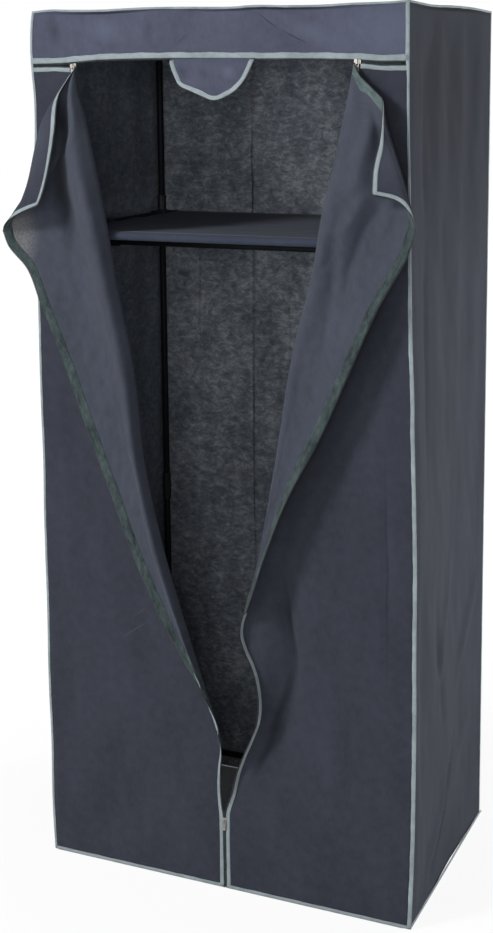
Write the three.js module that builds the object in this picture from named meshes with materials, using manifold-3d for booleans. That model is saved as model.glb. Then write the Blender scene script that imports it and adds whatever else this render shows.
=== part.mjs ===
// Portable fabric wardrobe: a plug-together tube frame under a sewn cloth cover
// with two zipped doors, shown with both doors folded open.
// Millimetres, +Z up, the front looks along -Y. The origin lies on the floor,
// under the middle of the open wardrobe.

import * as THREE from 'three';
import { RoundedBoxGeometry } from 'three/addons/geometries/RoundedBoxGeometry.js';
import { mergeVertices } from 'three/addons/utils/BufferGeometryUtils.js';
import Module from 'manifold-3d';

const wasm = await Module();
wasm.setup();

// Overall sizes of the cover
const coverWidth = 710;
const coverDepth = 470;
const coverHeight = 1600;
const hemHeight = 3;

// Cloth and clearances
const cloth = 1.2;
const gap = 0.3;
const cutOverrun = 2;

// Tubes and their sockets
const tubeDiameter = 13;
const tubeWall = 0.6;
const socketWall = 1.8;
const collarRim = 0.8;
const collarLength = 5;
const socketReach = 38;
const seatDepth = 12;
const footChamfer = 1.6;
const hubRounding = 2.4;

// Heights of the frame's rings, at the tube centres
const bottomRingHeight = 35;
const shelfHeight = 1207;
const railDrop = 36;

// Post couplers
const couplerLength = 56;
const couplerWeb = 3;

// Rail holders
const holderWidth = 22;
const holderWeb = 8;
const railSeat = 4;
const cupReach = 22;

// Front panel: header, doors and the lines of the zips
const headerHeight = 88;
const zipGap = 7;
const zipCentre = 8;
const zipFootHeight = 150;
const leftZipEnd = 278;
const rightZipEnd = 272;
const zipStopDrop = 14;
const foldStartDrop = 27;
const foldRadius = 10;
const leftFoldTop = 270;
const leftFoldFootX = 12;
const leftFoldFootHeight = 305;
const rightFoldTop = 257;
const rightFoldFootX = 57;
const rightFoldFootHeight = 540;
const flapStandOff = 68;
const crestForward = 20;

// Header tab
const tabWidth = 154;
const tabHeight = 71;
const tabOverlap = 8;
const tabCup = 6.5;
const tabBend = 10;
const tabTip = 4;

// Shelf cloth
const sleeveEndGap = 0.6;
const hemWrapShare = 0.62;

// Zip sliders and their pulls
const sliderLength = 12;
const sliderWidth = 9;
const sliderNeck = 6.5;
const sliderPlate = 1.1;
const sliderPost = 4;
const sliderCorner = 1.2;
const bailThickness = 1.8;
const bailHeight = 3.2;
const bailLength = 7;
const bailBar = 1.1;
const pullWidth = 6;
const pullLength = 20;
const pullThickness = 0.9;
const pullTipRadius = 2.2;
const pullWindowWidth = 3.2;
const pullWindowLength = 7;
const pullBar = 1;
const centreSliderHeight = 133;
const topSliderInset = 5;

// Side and back panels: depth of the soft pleats, and how far above and below the
// rail holders the panels stay flat
const sidePleat = 2.4;
const backPleat = 2;
const pleatClear = 16;

// How far the middle of the open wardrobe lies from the middle of its frame
const middleLeft = 12;
const middleFront = 34;

// Counts
const roundSides = 12;
const sleeveSegments = 8;
const cornerCount = 4;

// Values worked out from the sizes above
const tubeRadius = tubeDiameter / 2;
const boreRadius = tubeRadius + gap;
const socketRadius = boreRadius + socketWall;
const collarRadius = socketRadius + collarRim;
const frameX = coverWidth / 2 - cloth - gap - collarRadius;
const frameY = coverDepth / 2 - cloth - gap - collarRadius;
const topRingHeight = coverHeight - cloth - gap - collarRadius;
const railHeight = shelfHeight - railDrop;
const postJointHeight = (bottomRingHeight + shelfHeight) / 2;
const frontY = -coverDepth / 2 + cloth / 2;
const panelTop = coverHeight - cloth - gap;
const headerBottom = coverHeight - headerHeight;
const doorTop = headerBottom - zipGap;
const foldTopHeight = doorTop - foldStartDrop;
const halfWidth = coverWidth / 2;

// Finishes
const steel = new THREE.MeshStandardMaterial({ color: 0x15171a, roughness: 0.42, metalness: 0.6 });
const moulding = new THREE.MeshStandardMaterial({ color: 0x17181b, roughness: 0.55, metalness: 0 });
const clothOutside = new THREE.MeshStandardMaterial({ color: 0x474b59, roughness: 0.92, metalness: 0 });
const clothInside = new THREE.MeshStandardMaterial({ color: 0x3a3e44, roughness: 0.95, metalness: 0 });
const shelfCloth = new THREE.MeshStandardMaterial({ color: 0x333747, roughness: 0.85, metalness: 0 });
const zinc = new THREE.MeshStandardMaterial({ color: 0xc9c6bd, roughness: 0.3, metalness: 0.9 });

// The whole, and a short way to add a named piece to it
const wardrobe = new THREE.Group();

function place(name, geometry, material, parent = wardrobe) {
  const mesh = new THREE.Mesh(geometry, material.clone());
  mesh.name = name;
  parent.add(mesh);
  return mesh;
}

// Closed meshes become solids for joining and cutting, and come back as meshes
function toSolid(geometry) {
  const plain = geometry.clone();
  plain.deleteAttribute('normal');
  plain.deleteAttribute('uv');
  const merged = mergeVertices(plain);
  return new wasm.Manifold(new wasm.Mesh({
    numProp: 3,
    vertProperties: new Float32Array(merged.attributes.position.array),
    triVerts: new Uint32Array(merged.index.array),
  }));
}

function toGeometry(solid) {
  const mesh = solid.getMesh();
  const geometry = new THREE.BufferGeometry();
  geometry.setAttribute('position', new THREE.BufferAttribute(mesh.vertProperties, mesh.numProp));
  geometry.setIndex(new THREE.BufferAttribute(mesh.triVerts, 1));
  return geometry;
}

function join(solids) {
  return solids.reduce((whole, next) => whole.add(next));
}

// A round bar along an axis ('x', 'y' or 'z'), from one place on it to another
function bar(axis, from, to, radius, sides = roundSides) {
  const geometry = new THREE.CylinderGeometry(radius, radius, Math.abs(to - from), sides);
  geometry.translate(0, (from + to) / 2, 0);
  if (axis === 'x') geometry.rotateZ(-Math.PI / 2);
  if (axis === 'z') geometry.rotateX(Math.PI / 2);
  return geometry;
}

// A block between two corners
function block(low, high) {
  const geometry = new THREE.BoxGeometry(high[0] - low[0], high[1] - low[1], high[2] - low[2]);
  geometry.translate((low[0] + high[0]) / 2, (low[1] + high[1]) / 2, (low[2] + high[2]) / 2);
  return geometry;
}

// An open-ended tube of the frame, standing along +Z from the origin
function frameTube(length) {
  const bore = tubeRadius - tubeWall;
  const profile = [
    new THREE.Vector2(bore, 0),
    new THREE.Vector2(tubeRadius, 0),
    new THREE.Vector2(tubeRadius, length),
    new THREE.Vector2(bore, length),
    new THREE.Vector2(bore, 0),
  ];
  const geometry = new THREE.LatheGeometry(profile, roundSides);
  geometry.rotateX(Math.PI / 2);
  return geometry;
}

// A moulded connector: barrels with a collar at each mouth, round one hub.
// Each way is an axis and a sense, such as ['x', 1].
function connector(ways, foot = 0) {
  const hub = 2 * collarRadius;
  const outer = [toSolid(new RoundedBoxGeometry(hub, hub, hub, 1, hubRounding))];
  const bores = [];
  for (const [axis, sense] of ways) {
    const mouth = sense * socketReach;
    outer.push(toSolid(bar(axis, 0, mouth, socketRadius)));
    outer.push(toSolid(bar(axis, mouth - sense * collarLength, mouth, collarRadius)));
    bores.push(toSolid(bar(axis, sense * seatDepth, mouth + sense * cutOverrun, boreRadius)));
  }
  if (foot) {
    outer.push(toSolid(bar('z', -foot + footChamfer, 0, collarRadius)));
    const soleRadius = collarRadius - footChamfer;
    const sole = new THREE.CylinderGeometry(collarRadius, soleRadius, footChamfer, roundSides);
    sole.rotateX(Math.PI / 2);
    sole.translate(0, 0, -foot + footChamfer / 2);
    outer.push(toSolid(sole));
  }
  return toGeometry(join(outer).subtract(join(bores)));
}

// The four corners, in turn: each is a quarter turn on from the one before
const corners = [
  { name: 'front_left', x: -1, y: -1 },
  { name: 'front_right', x: 1, y: -1 },
  { name: 'rear_right', x: 1, y: 1 },
  { name: 'rear_left', x: -1, y: 1 },
];

const bottomConnector = connector([['x', 1], ['y', 1], ['z', 1]], bottomRingHeight);
const shelfConnector = connector([['x', 1], ['y', 1], ['z', 1], ['z', -1]]);
const topConnector = connector([['x', 1], ['y', 1], ['z', -1]]);

function coupler() {
  const half = couplerLength / 2;
  const sleeve = toSolid(bar('z', -half, half, socketRadius));
  const ring = toSolid(bar('z', -collarLength / 2, collarLength / 2, collarRadius));
  const upper = toSolid(bar('z', couplerWeb / 2, half + cutOverrun, boreRadius));
  const lower = toSolid(bar('z', -half - cutOverrun, -couplerWeb / 2, boreRadius));
  return toGeometry(sleeve.add(ring).subtract(upper).subtract(lower));
}

// Posts, their couplers and the connectors at each corner
const seat = seatDepth + gap;
const lowerPostFoot = bottomRingHeight + seat;
const lowerPostHead = postJointHeight - couplerWeb / 2 - gap;
const middlePostFoot = postJointHeight + couplerWeb / 2 + gap;
const middlePostHead = shelfHeight - seat;
const upperPostFoot = shelfHeight + seat;
const upperPostHead = topRingHeight - seat;

for (let turn = 0; turn < cornerCount; turn += 1) {
  const corner = corners[turn];
  const stand = new THREE.Group();
  stand.position.set(corner.x * frameX, corner.y * frameY, 0);
  stand.rotation.z = turn * Math.PI / 2;
  wardrobe.add(stand);
  const pieces = [
    [`bottom_connector_${corner.name}`, bottomConnector, moulding, bottomRingHeight],
    [`shelf_connector_${corner.name}`, shelfConnector, moulding, shelfHeight],
    [`top_connector_${corner.name}`, topConnector, moulding, topRingHeight],
    [`post_coupler_${corner.name}`, coupler(), moulding, postJointHeight],
    [`lower_post_${corner.name}`, frameTube(lowerPostHead - lowerPostFoot), steel, lowerPostFoot],
    [`middle_post_${corner.name}`, frameTube(middlePostHead - middlePostFoot), steel, middlePostFoot],
    [`upper_post_${corner.name}`, frameTube(upperPostHead - upperPostFoot), steel, upperPostFoot],
  ];
  for (const [name, geometry, material, height] of pieces) {
    place(name, geometry, material, stand).position.z = height;
  }
}

// The three rings: two long and two short tubes each
const rings = [
  ['bottom', bottomRingHeight],
  ['shelf', shelfHeight],
  ['top', topRingHeight],
];
for (const [level, height] of rings) {
  for (const [side, sense] of [['front', -1], ['rear', 1]]) {
    const tube = place(`${level}_tube_${side}`, frameTube(2 * (frameX - seat)), steel);
    tube.rotation.y = Math.PI / 2;
    tube.position.set(-frameX + seat, sense * frameY, height);
  }
  for (const [side, sense] of [['left', -1], ['right', 1]]) {
    const tube = place(`${level}_tube_${side}`, frameTube(2 * (frameY - seat)), steel);
    tube.rotation.x = -Math.PI / 2;
    tube.position.set(sense * frameX, -frameY + seat, height);
  }
}

// Hanging rail, in two moulded holders that slide onto the side tubes of the shelf
function railHolder() {
  const half = holderWidth / 2;
  const ring = bar('y', -half, half, collarRadius);
  const cup = bar('x', -collarRadius, cupReach, collarRadius).translate(0, 0, -railDrop);
  const web = block([-holderWeb / 2, -half, -railDrop], [holderWeb / 2, half, 0]);
  const shaft = bar('y', -half - cutOverrun, half + cutOverrun, boreRadius);
  const bore = bar('x', -railSeat, cupReach + cutOverrun, boreRadius).translate(0, 0, -railDrop);
  const body = join([ring, web, cup].map(toSolid));
  return toGeometry(body.subtract(join([shaft, bore].map(toSolid))));
}

for (const [side, sense] of [['left', -1], ['right', 1]]) {
  const holder = place(`rail_holder_${side}`, railHolder(), moulding);
  holder.position.set(sense * frameX, 0, shelfHeight);
  if (sense > 0) holder.rotation.z = Math.PI;
}
const railEnd = frameX + railSeat - gap;
const rail = place('hanging_rail', frameTube(2 * railEnd), steel);
rail.rotation.y = Math.PI / 2;
rail.position.set(-railEnd, 0, railHeight);

// A cloth sheet of even thickness, from a grid of points on its middle surface.
// Rows and columns run so that across times along points to the outer face.
function sheet(rows, columns, pointAt, thickness = cloth) {
  const middle = [];
  for (let i = 0; i <= rows; i += 1) {
    middle.push([]);
    for (let j = 0; j <= columns; j += 1) middle[i].push(pointAt(i / rows, j / columns));
  }
  const outer = [];
  const inner = [];
  for (let i = 0; i <= rows; i += 1) {
    for (let j = 0; j <= columns; j += 1) {
      const along = middle[Math.min(i + 1, rows)][j].clone().sub(middle[Math.max(i - 1, 0)][j]);
      const across = middle[i][Math.min(j + 1, columns)].clone().sub(middle[i][Math.max(j - 1, 0)]);
      const normal = across.cross(along).normalize().multiplyScalar(thickness / 2);
      outer.push(middle[i][j].clone().add(normal));
      inner.push(middle[i][j].clone().sub(normal));
    }
  }
  const index = [];
  const at = (i, j) => i * (columns + 1) + j;
  const back = outer.length;
  for (let i = 0; i < rows; i += 1) {
    for (let j = 0; j < columns; j += 1) {
      const [a, b, c, d] = [at(i, j), at(i, j + 1), at(i + 1, j + 1), at(i + 1, j)];
      index.push(a, b, c, a, c, d);
      index.push(back + a, back + c, back + b, back + a, back + d, back + c);
    }
  }
  const rim = [];
  for (let j = 0; j < columns; j += 1) rim.push(at(0, j));
  for (let i = 0; i < rows; i += 1) rim.push(at(i, columns));
  for (let j = columns; j > 0; j -= 1) rim.push(at(rows, j));
  for (let i = rows; i > 0; i -= 1) rim.push(at(i, 0));
  rim.forEach((a, k) => {
    const b = rim[(k + 1) % rim.length];
    index.push(a, back + a, back + b, a, back + b, b);
  });
  const geometry = new THREE.BufferGeometry();
  const points = [...outer, ...inner].flatMap((point) => point.toArray());
  geometry.setAttribute('position', new THREE.Float32BufferAttribute(points, 3));
  geometry.setIndex(index);
  return geometry;
}

// Top and header
place('top_panel', block([-halfWidth, -coverDepth / 2, panelTop + gap],
  [halfWidth, coverDepth / 2, coverHeight]), clothOutside);
place('header_valance', block([-halfWidth, -coverDepth / 2, headerBottom],
  [halfWidth, -coverDepth / 2 + cloth, panelTop]), clothOutside);

// Soft vertical pleats fade out at the edges and where the frame lies close behind.
// Each row pairs a place across or up the panel with a share of the pleat's depth.
const sidePleatShares = [[0, 0], [0.08, 0.2], [0.16, 1], [0.23, 0.1], [0.33, 0.9], [0.45, 0.25],
  [0.55, 1], [0.66, 0.2], [0.78, 0.9], [0.9, 0.15], [1, 0]];
const backPleatShares = [[0, 0], [0.25, 0.2], [0.45, 0.4], [0.5, 1], [0.55, 0.4], [0.75, 0.2], [1, 0]];
const lowerPleatShares = [[0, 0], [0.14, 0.5], [0.42, 0.5], [0.7, 0.6], [0.92, 1], [1, 0]];
const upperPleatShares = [[0, 0], [0.35, 1], [0.72, 0.6], [1, 0]];
const holderFoot = railHeight - collarRadius - pleatClear;
const holderHead = shelfHeight + collarRadius + pleatClear;
const pleatRows = [
  ...lowerPleatShares.map(([up, depth]) => [THREE.MathUtils.lerp(hemHeight, holderFoot, up), depth]),
  ...upperPleatShares.map(([up, depth]) => [THREE.MathUtils.lerp(holderHead, panelTop, up), depth]),
];

// A wall of the cover: its edges lie on a plane, and its pleats sink in from it
function pleatedWall(acrossShares, pleat, pointAt) {
  const rows = pleatRows.length - 1;
  const columns = acrossShares.length - 1;
  return sheet(rows, columns, (along, across) => {
    const [height, rowDepth] = pleatRows[Math.round(along * rows)];
    const [over, columnDepth] = acrossShares[Math.round(across * columns)];
    return pointAt(over, cloth / 2 + pleat * rowDepth * columnDepth, height);
  });
}

const wallReach = coverDepth / 2 - cloth - gap;
for (const [side, sense] of [['left', -1], ['right', 1]]) {
  place(`${side}_side_panel`, pleatedWall(sidePleatShares, sidePleat, (over, sink, height) => {
    const y = sense * THREE.MathUtils.lerp(-wallReach, wallReach, over);
    return new THREE.Vector3(sense * (halfWidth - sink), y, height);
  }), clothOutside);
}
place('back_panel', pleatedWall(backPleatShares, backPleat, (over, sink, height) => {
  const x = THREE.MathUtils.lerp(halfWidth, -halfWidth, over);
  return new THREE.Vector3(x, coverDepth / 2 - sink, height);
}), clothInside);

// The folds of the doors, as straight lines in the front plane
const folds = {
  left: {
    sense: -1,
    zipEnd: leftZipEnd,
    top: new THREE.Vector2(-leftFoldTop, foldTopHeight),
    foot: new THREE.Vector2(-leftFoldFootX, leftFoldFootHeight),
  },
  right: {
    sense: 1,
    zipEnd: rightZipEnd,
    top: new THREE.Vector2(rightFoldTop, foldTopHeight),
    foot: new THREE.Vector2(rightFoldFootX, rightFoldFootHeight),
  },
};

// The free edge of each door below its fold: share of the way up from the foot of
// the open zip to the foot of the fold, and share of the way across between them
folds.left.edgeShares = [[0, 0], [0.4, 0.1], [0.75, 0.15], [0.92, 0.6], [1, 1]];
folds.right.edgeShares = [[0, 0], [0.1, 0.32], [0.21, 0.58], [0.3, 0.85], [0.4, 1.22], [0.48, 1.5],
  [0.57, 1.6], [0.69, 1.46], [0.76, 1.26], [0.82, 1], [0.89, 0.82], [0.95, 0.86], [1, 1]];
const freeRows = 8;
const foldRows = 3;
const flatColumns = 3;
const rollColumns = 5;
const rollInShare = 0.6;
const hingeGap = cloth / 2 + gap;

// The rows of a door, from hem to top: height, edge and how far the edge rolls forward
function doorRows(fold) {
  const zipEdge = zipCentre + fold.sense * zipGap / 2;
  const freeEdge = new THREE.SplineCurve(fold.edgeShares.map(([up, across]) => new THREE.Vector2(
    THREE.MathUtils.lerp(zipEdge, fold.foot.x, across),
    THREE.MathUtils.lerp(zipFootHeight, fold.foot.y, up),
  )));
  const rows = [{ x: zipEdge, height: hemHeight, roll: 0 }];
  for (let k = 0; k <= freeRows; k += 1) {
    const point = freeEdge.getPoint(k / freeRows);
    const roll = foldRadius * THREE.MathUtils.smoothstep(k / freeRows, 0, rollInShare);
    rows.push({ x: point.x, height: point.y, roll });
  }
  for (let k = 1; k <= foldRows; k += 1) {
    const point = fold.foot.clone().lerp(fold.top, k / foldRows);
    rows.push({ x: point.x, height: point.y, roll: foldRadius });
  }
  rows.push({ x: fold.sense * fold.zipEnd, height: doorTop - zipStopDrop, roll: 0 });
  rows.push({ x: fold.sense * fold.zipEnd, height: doorTop, roll: 0 });
  return rows;
}

// A door is flat up to its fold, where the cloth turns forward by a quarter round
function doorPanel(fold) {
  const rows = doorRows(fold);
  const columns = flatColumns + rollColumns;
  const lastTurn = Math.PI / 2 - hingeGap / foldRadius;
  const surface = (along, across) => {
    const row = rows[Math.round(along * (rows.length - 1))];
    const column = Math.round(across * columns);
    const flatEnd = row.x + fold.sense * row.roll;
    if (column <= flatColumns) {
      const x = THREE.MathUtils.lerp(fold.sense * halfWidth, flatEnd, column / flatColumns);
      return new THREE.Vector3(x, frontY, row.height);
    }
    const turn = lastTurn * (column - flatColumns) / rollColumns;
    return new THREE.Vector3(
      flatEnd - fold.sense * row.roll * Math.sin(turn),
      frontY - row.roll * (1 - Math.cos(turn)),
      row.height,
    );
  };
  return surfaceSheet(fold, rows.length - 1, columns, surface);
}

// The right-hand pieces run the other way across, so that they keep their outer face
function surfaceSheet(fold, rows, columns, surface) {
  if (fold.sense < 0) return sheet(rows, columns, surface);
  return sheet(rows, columns, (along, across) => surface(along, 1 - across));
}

place('left_door', doorPanel(folds.left), clothOutside);
place('right_door', doorPanel(folds.right), clothOutside);

// The folded-back flap of each door, from its top edge down to the foot of the fold.
// A row gives the share of the way down the fold, then the middle and the free edge
// of that thread: across as a share of half the width, height as a share of the
// door's top, and forward as a share of the flaps' stand-off.
folds.left.threadShares = [
  [0, 0.82, 0.92, 0.65, 0.896, 0.841, 0.91],
  [0.035, 0.896, 0.907, 0.59, 1.003, 0.831, 0.82],
  [0.07, 0.965, 0.878, 0.53, 1.124, 0.816, 0.62],
  [0.11, 0.905, 0.852, 0.34, 1.132, 0.788, 0.44],
  [0.17, 0.817, 0.81, 0.24, 1.011, 0.759, 0.36],
  [0.25, 0.746, 0.75, 0.25, 0.924, 0.7, 0.35],
  [0.4, 0.61, 0.639, 0.32, 0.749, 0.599, 0.35],
  [0.55, 0.465, 0.528, 0.38, 0.572, 0.494, 0.35],
  [0.7, 0.322, 0.418, 0.4, 0.4, 0.391, 0.35],
  [0.85, 0.163, 0.307, 0.36, 0.18, 0.293, 0.34],
  [1, 0.042, 0.199, 0.27, 0.048, 0.195, 0.3],
];
folds.right.threadShares = [
  [0, 0.932, 0.93, 0.82, 0.901, 0.862, 1],
  [0.06, 0.938, 0.914, 0.71, 1.02, 0.855, 0.91],
  [0.12, 0.968, 0.885, 0.62, 1.087, 0.826, 0.75],
  [0.18, 0.85, 0.839, 0.46, 1.037, 0.794, 0.7],
  [0.25, 0.777, 0.795, 0.46, 0.955, 0.757, 0.72],
  [0.4, 0.648, 0.711, 0.56, 0.789, 0.682, 0.735],
  [0.55, 0.527, 0.625, 0.62, 0.637, 0.604, 0.735],
  [0.7, 0.406, 0.54, 0.62, 0.479, 0.528, 0.73],
  [0.85, 0.29, 0.452, 0.52, 0.327, 0.449, 0.62],
  [1, 0.172, 0.357, 0.27, 0.185, 0.354, 0.3],
];
const crestShare = 0.2;
const flapColumns = 12;
const rowsPerThread = 2;

function flap(fold) {
  const threads = fold.threadShares;
  const shareOf = (across, up, forward) => new THREE.Vector3(
    fold.sense * across * halfWidth,
    frontY - forward * flapStandOff,
    up * doorTop,
  );
  const hinge = [];
  const crest = [];
  const middle = [];
  const edge = [];
  for (const [down, midAcross, midUp, midForward, across, up, forward] of threads) {
    const foot = fold.top.clone().lerp(fold.foot, down);
    const start = new THREE.Vector3(foot.x, frontY - foldRadius, foot.y);
    const mid = shareOf(midAcross, midUp, midForward);
    const high = start.clone().lerp(mid, crestShare);
    high.y = start.y - crestForward * Math.sqrt(1 - down * down) * (1 - crestShare);
    hinge.push(start);
    crest.push(high);
    middle.push(mid);
    edge.push(shareOf(across, up, forward));
  }
  crest[crest.length - 1].lerpVectors(hinge[hinge.length - 1], middle[middle.length - 1], 1 / 2);
  const lines = [hinge, crest, middle, edge].map((points) => new THREE.CatmullRomCurve3(points));
  const rows = (threads.length - 1) * rowsPerThread;
  return surfaceSheet(fold, rows, flapColumns, (along, across) => {
    const thread = lines.map((line) => line.getPoint(1 - along));
    return new THREE.CatmullRomCurve3(thread).getPoint(1 - across);
  });
}

place('left_flap', flap(folds.left), clothInside);
place('right_flap', flap(folds.right), clothInside);

// Half-round tab, sewn to the header and cupped forward over the zip
const tabRows = 8;
const tabColumns = 6;
place('header_tab', sheet(tabRows, tabColumns, (along, across) => {
  const drop = tabHeight * (1 - along);
  const round = Math.sqrt(Math.max(0, 1 - (1 - along) ** 2));
  const half = Math.max(tabTip / 2, tabWidth / 2 * round);
  const forward = hingeGap + cloth / 2 + tabCup * THREE.MathUtils.smoothstep(drop, 0, tabBend);
  return new THREE.Vector3(
    THREE.MathUtils.lerp(-half, half, across),
    frontY - forward,
    headerBottom + tabOverlap - drop,
  );
}), clothOutside);

// Shelf cloth: one length with a sleeve at each long edge, slid over the two tubes
function shelfSleeve() {
  const inner = tubeRadius + gap;
  const outer = inner + cloth;
  const top = Math.PI / 2;
  const wrap = hemWrapShare * 2 * Math.PI;
  const outline = new THREE.Shape();
  outline.absarc(-frameY, 0, outer, top + wrap, top, true);
  outline.absarc(frameY, 0, outer, top, top - wrap, true);
  outline.absarc(frameY, 0, inner, top - wrap, top, false);
  outline.absarc(-frameY, 0, inner, top, top + wrap, false);
  const length = 2 * (frameX - socketReach - sleeveEndGap);
  const geometry = new THREE.ExtrudeGeometry(outline, {
    depth: length, bevelEnabled: false, curveSegments: sleeveSegments,
  });
  geometry.translate(0, 0, -length / 2);
  const turned = new THREE.Matrix4().makeBasis(
    new THREE.Vector3(0, 1, 0), new THREE.Vector3(0, 0, 1), new THREE.Vector3(1, 0, 0));
  return geometry.applyMatrix4(turned);
}
place('shelf_cloth', shelfSleeve(), shelfCloth).position.z = shelfHeight;

// Zip sliders, drawn with the zip running up and the front towards -Y; a slider's
// wide end is its upper one, and the cloth passes between its two plates
const plateInner = cloth / 2 + gap;
const plateOuter = plateInner + sliderPlate;

function sliderOutline() {
  const half = sliderLength / 2;
  const wide = sliderWidth / 2;
  const neck = sliderNeck / 2;
  const outline = new THREE.Shape();
  outline.moveTo(-neck + sliderCorner, -half);
  outline.lineTo(neck - sliderCorner, -half);
  outline.quadraticCurveTo(neck, -half, neck, -half + sliderCorner);
  outline.quadraticCurveTo(neck, 0, wide, half / 2);
  outline.lineTo(wide, half - sliderCorner);
  outline.quadraticCurveTo(wide, half, wide - sliderCorner, half);
  outline.lineTo(-wide + sliderCorner, half);
  outline.quadraticCurveTo(-wide, half, -wide, half - sliderCorner);
  outline.lineTo(-wide, half / 2);
  outline.quadraticCurveTo(-neck, 0, -neck, -half + sliderCorner);
  outline.quadraticCurveTo(-neck, -half, -neck + sliderCorner, -half);
  return outline;
}

// A flat outline in X and Z becomes a plate between two depths
function plate(outline, near, far, segments = 3) {
  const geometry = new THREE.ExtrudeGeometry(outline, {
    depth: far - near, bevelEnabled: false, curveSegments: segments,
  });
  geometry.rotateX(Math.PI / 2);
  geometry.translate(0, far, 0);
  return geometry;
}

// The post between the plates parts the teeth, so it is a diamond; the bail in
// front is a bridge that carries the pull
function slider(turn) {
  const diamond = new THREE.Shape();
  diamond.moveTo(0, -sliderPost);
  diamond.lineTo(sliderPost / 2, 0);
  diamond.lineTo(0, sliderPost);
  diamond.lineTo(-sliderPost / 2, 0);
  const body = join([
    plate(sliderOutline(), -plateOuter, -plateInner),
    plate(sliderOutline(), plateInner, plateOuter),
    plate(diamond, -plateOuter + sliderPlate / 2, plateOuter - sliderPlate / 2),
  ].map((piece) => toSolid(piece.rotateY(turn))));
  const bailFront = -plateOuter - bailHeight;
  const half = bailLength / 2;
  const bridge = toSolid(block(
    [-bailThickness / 2, bailFront, -half],
    [bailThickness / 2, -plateInner, half],
  ));
  const window = toSolid(block(
    [-bailThickness, bailFront + bailBar, -half + bailBar],
    [bailThickness, -plateOuter, half - bailBar],
  ));
  return toGeometry(body.add(bridge.subtract(window)));
}

// A pull, with its origin on the axis of the small bar that hangs in the bail
function pull() {
  const half = pullWidth / 2;
  const outline = new THREE.Shape();
  outline.moveTo(-half, pullBar / 2);
  outline.lineTo(-half, pullTipRadius - pullLength);
  outline.quadraticCurveTo(-half, -pullLength, 0, -pullLength);
  outline.quadraticCurveTo(half, -pullLength, half, pullTipRadius - pullLength);
  outline.lineTo(half, pullBar / 2);
  const window = new THREE.Path();
  window.moveTo(-pullWindowWidth / 2, -pullBar / 2);
  window.lineTo(-pullWindowWidth / 2, -pullBar / 2 - pullWindowLength);
  window.lineTo(pullWindowWidth / 2, -pullBar / 2 - pullWindowLength);
  window.lineTo(pullWindowWidth / 2, -pullBar / 2);
  outline.holes.push(window);
  return plate(outline, -pullThickness / 2, pullThickness / 2);
}

const pullForward = -plateOuter - (bailHeight - bailBar) / 2;
const pullUp = bailLength / 2 - bailBar - gap - pullBar / 2;
const topZipHeight = headerBottom - zipGap / 2;
const quarterTurn = Math.PI / 2;
const zips = [
  { name: 'centre', x: zipCentre, height: centreSliderHeight, turn: 0 },
  { name: 'top_left', x: -leftZipEnd + topSliderInset, height: topZipHeight, turn: quarterTurn },
  { name: 'top_right', x: rightZipEnd - topSliderInset, height: topZipHeight, turn: -quarterTurn },
];
for (const zip of zips) {
  const spot = new THREE.Group();
  spot.position.set(zip.x, frontY, zip.height);
  wardrobe.add(spot);
  place(`${zip.name}_slider`, slider(zip.turn), zinc, spot);
  place(`${zip.name}_pull`, pull(), zinc, spot).position.set(0, pullForward, pullUp);
}

wardrobe.position.set(middleLeft, middleFront, 0);
export default wardrobe;
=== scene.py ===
# Portable fabric wardrobe: a cloth cover with two folded-back zip doors over a tube frame.
# Lengths in the tables are millimetres from the middle of the cover's footprint: +Z up,
# the front looks along -Y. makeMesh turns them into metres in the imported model's frame.
import math

import bpy
import bmesh
import numpy as np
from mathutils import Matrix, Vector


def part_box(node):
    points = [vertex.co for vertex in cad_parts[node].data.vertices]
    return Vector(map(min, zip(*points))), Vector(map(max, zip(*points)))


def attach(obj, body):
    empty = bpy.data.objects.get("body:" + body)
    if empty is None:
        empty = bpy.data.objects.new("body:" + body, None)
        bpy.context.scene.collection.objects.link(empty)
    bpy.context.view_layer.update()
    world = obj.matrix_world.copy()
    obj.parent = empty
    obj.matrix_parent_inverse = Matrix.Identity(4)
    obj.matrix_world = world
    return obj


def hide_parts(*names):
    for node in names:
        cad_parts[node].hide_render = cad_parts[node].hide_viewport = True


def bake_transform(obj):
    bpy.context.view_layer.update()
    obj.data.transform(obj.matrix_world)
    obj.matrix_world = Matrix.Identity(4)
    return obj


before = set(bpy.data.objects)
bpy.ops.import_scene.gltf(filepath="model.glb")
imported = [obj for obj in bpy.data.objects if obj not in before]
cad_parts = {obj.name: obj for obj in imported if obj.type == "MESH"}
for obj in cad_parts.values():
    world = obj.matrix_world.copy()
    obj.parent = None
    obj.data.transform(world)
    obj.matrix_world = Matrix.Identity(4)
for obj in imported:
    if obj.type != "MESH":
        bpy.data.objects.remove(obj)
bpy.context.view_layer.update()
mm = 0.001
tiny = 1e-9

# The cover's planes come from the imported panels
topLow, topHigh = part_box("top_panel")
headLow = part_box("header_valance")[0]
doorLow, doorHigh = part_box("left_door")
middle = np.array([(topLow.x + topHigh.x) / 2, (topLow.y + topHigh.y) / 2, 0.0])
halfWidth = (topHigh.x - topLow.x) / 2 / mm
halfDepth = (topHigh.y - topLow.y) / 2 / mm
coverTop = topHigh.z / mm
headerFoot = headLow.z / mm
doorHead = doorHigh.z / mm
hemHeight = doorLow.z / mm
clothHalf = 0.6
frontY = -halfDepth + clothHalf
zipMiddle = 8.0
zipHalfGap = 3.5


def onFront(points):
    # Rows of across, up and forward of the front cloth become x, y, z
    points = np.asarray(points, float)
    return np.stack([points[..., 0], frontY - points[..., 2], points[..., 1]], -1)


def lengthAlong(points):
    # How far along a line each of its points lies
    return np.concatenate([[0], np.cumsum(np.linalg.norm(np.diff(points, axis=0), axis=1))])


def unit(vectors):
    # The same directions, each with a length of one
    return vectors / np.maximum(np.linalg.norm(vectors, axis=-1, keepdims=True), tiny)


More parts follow.
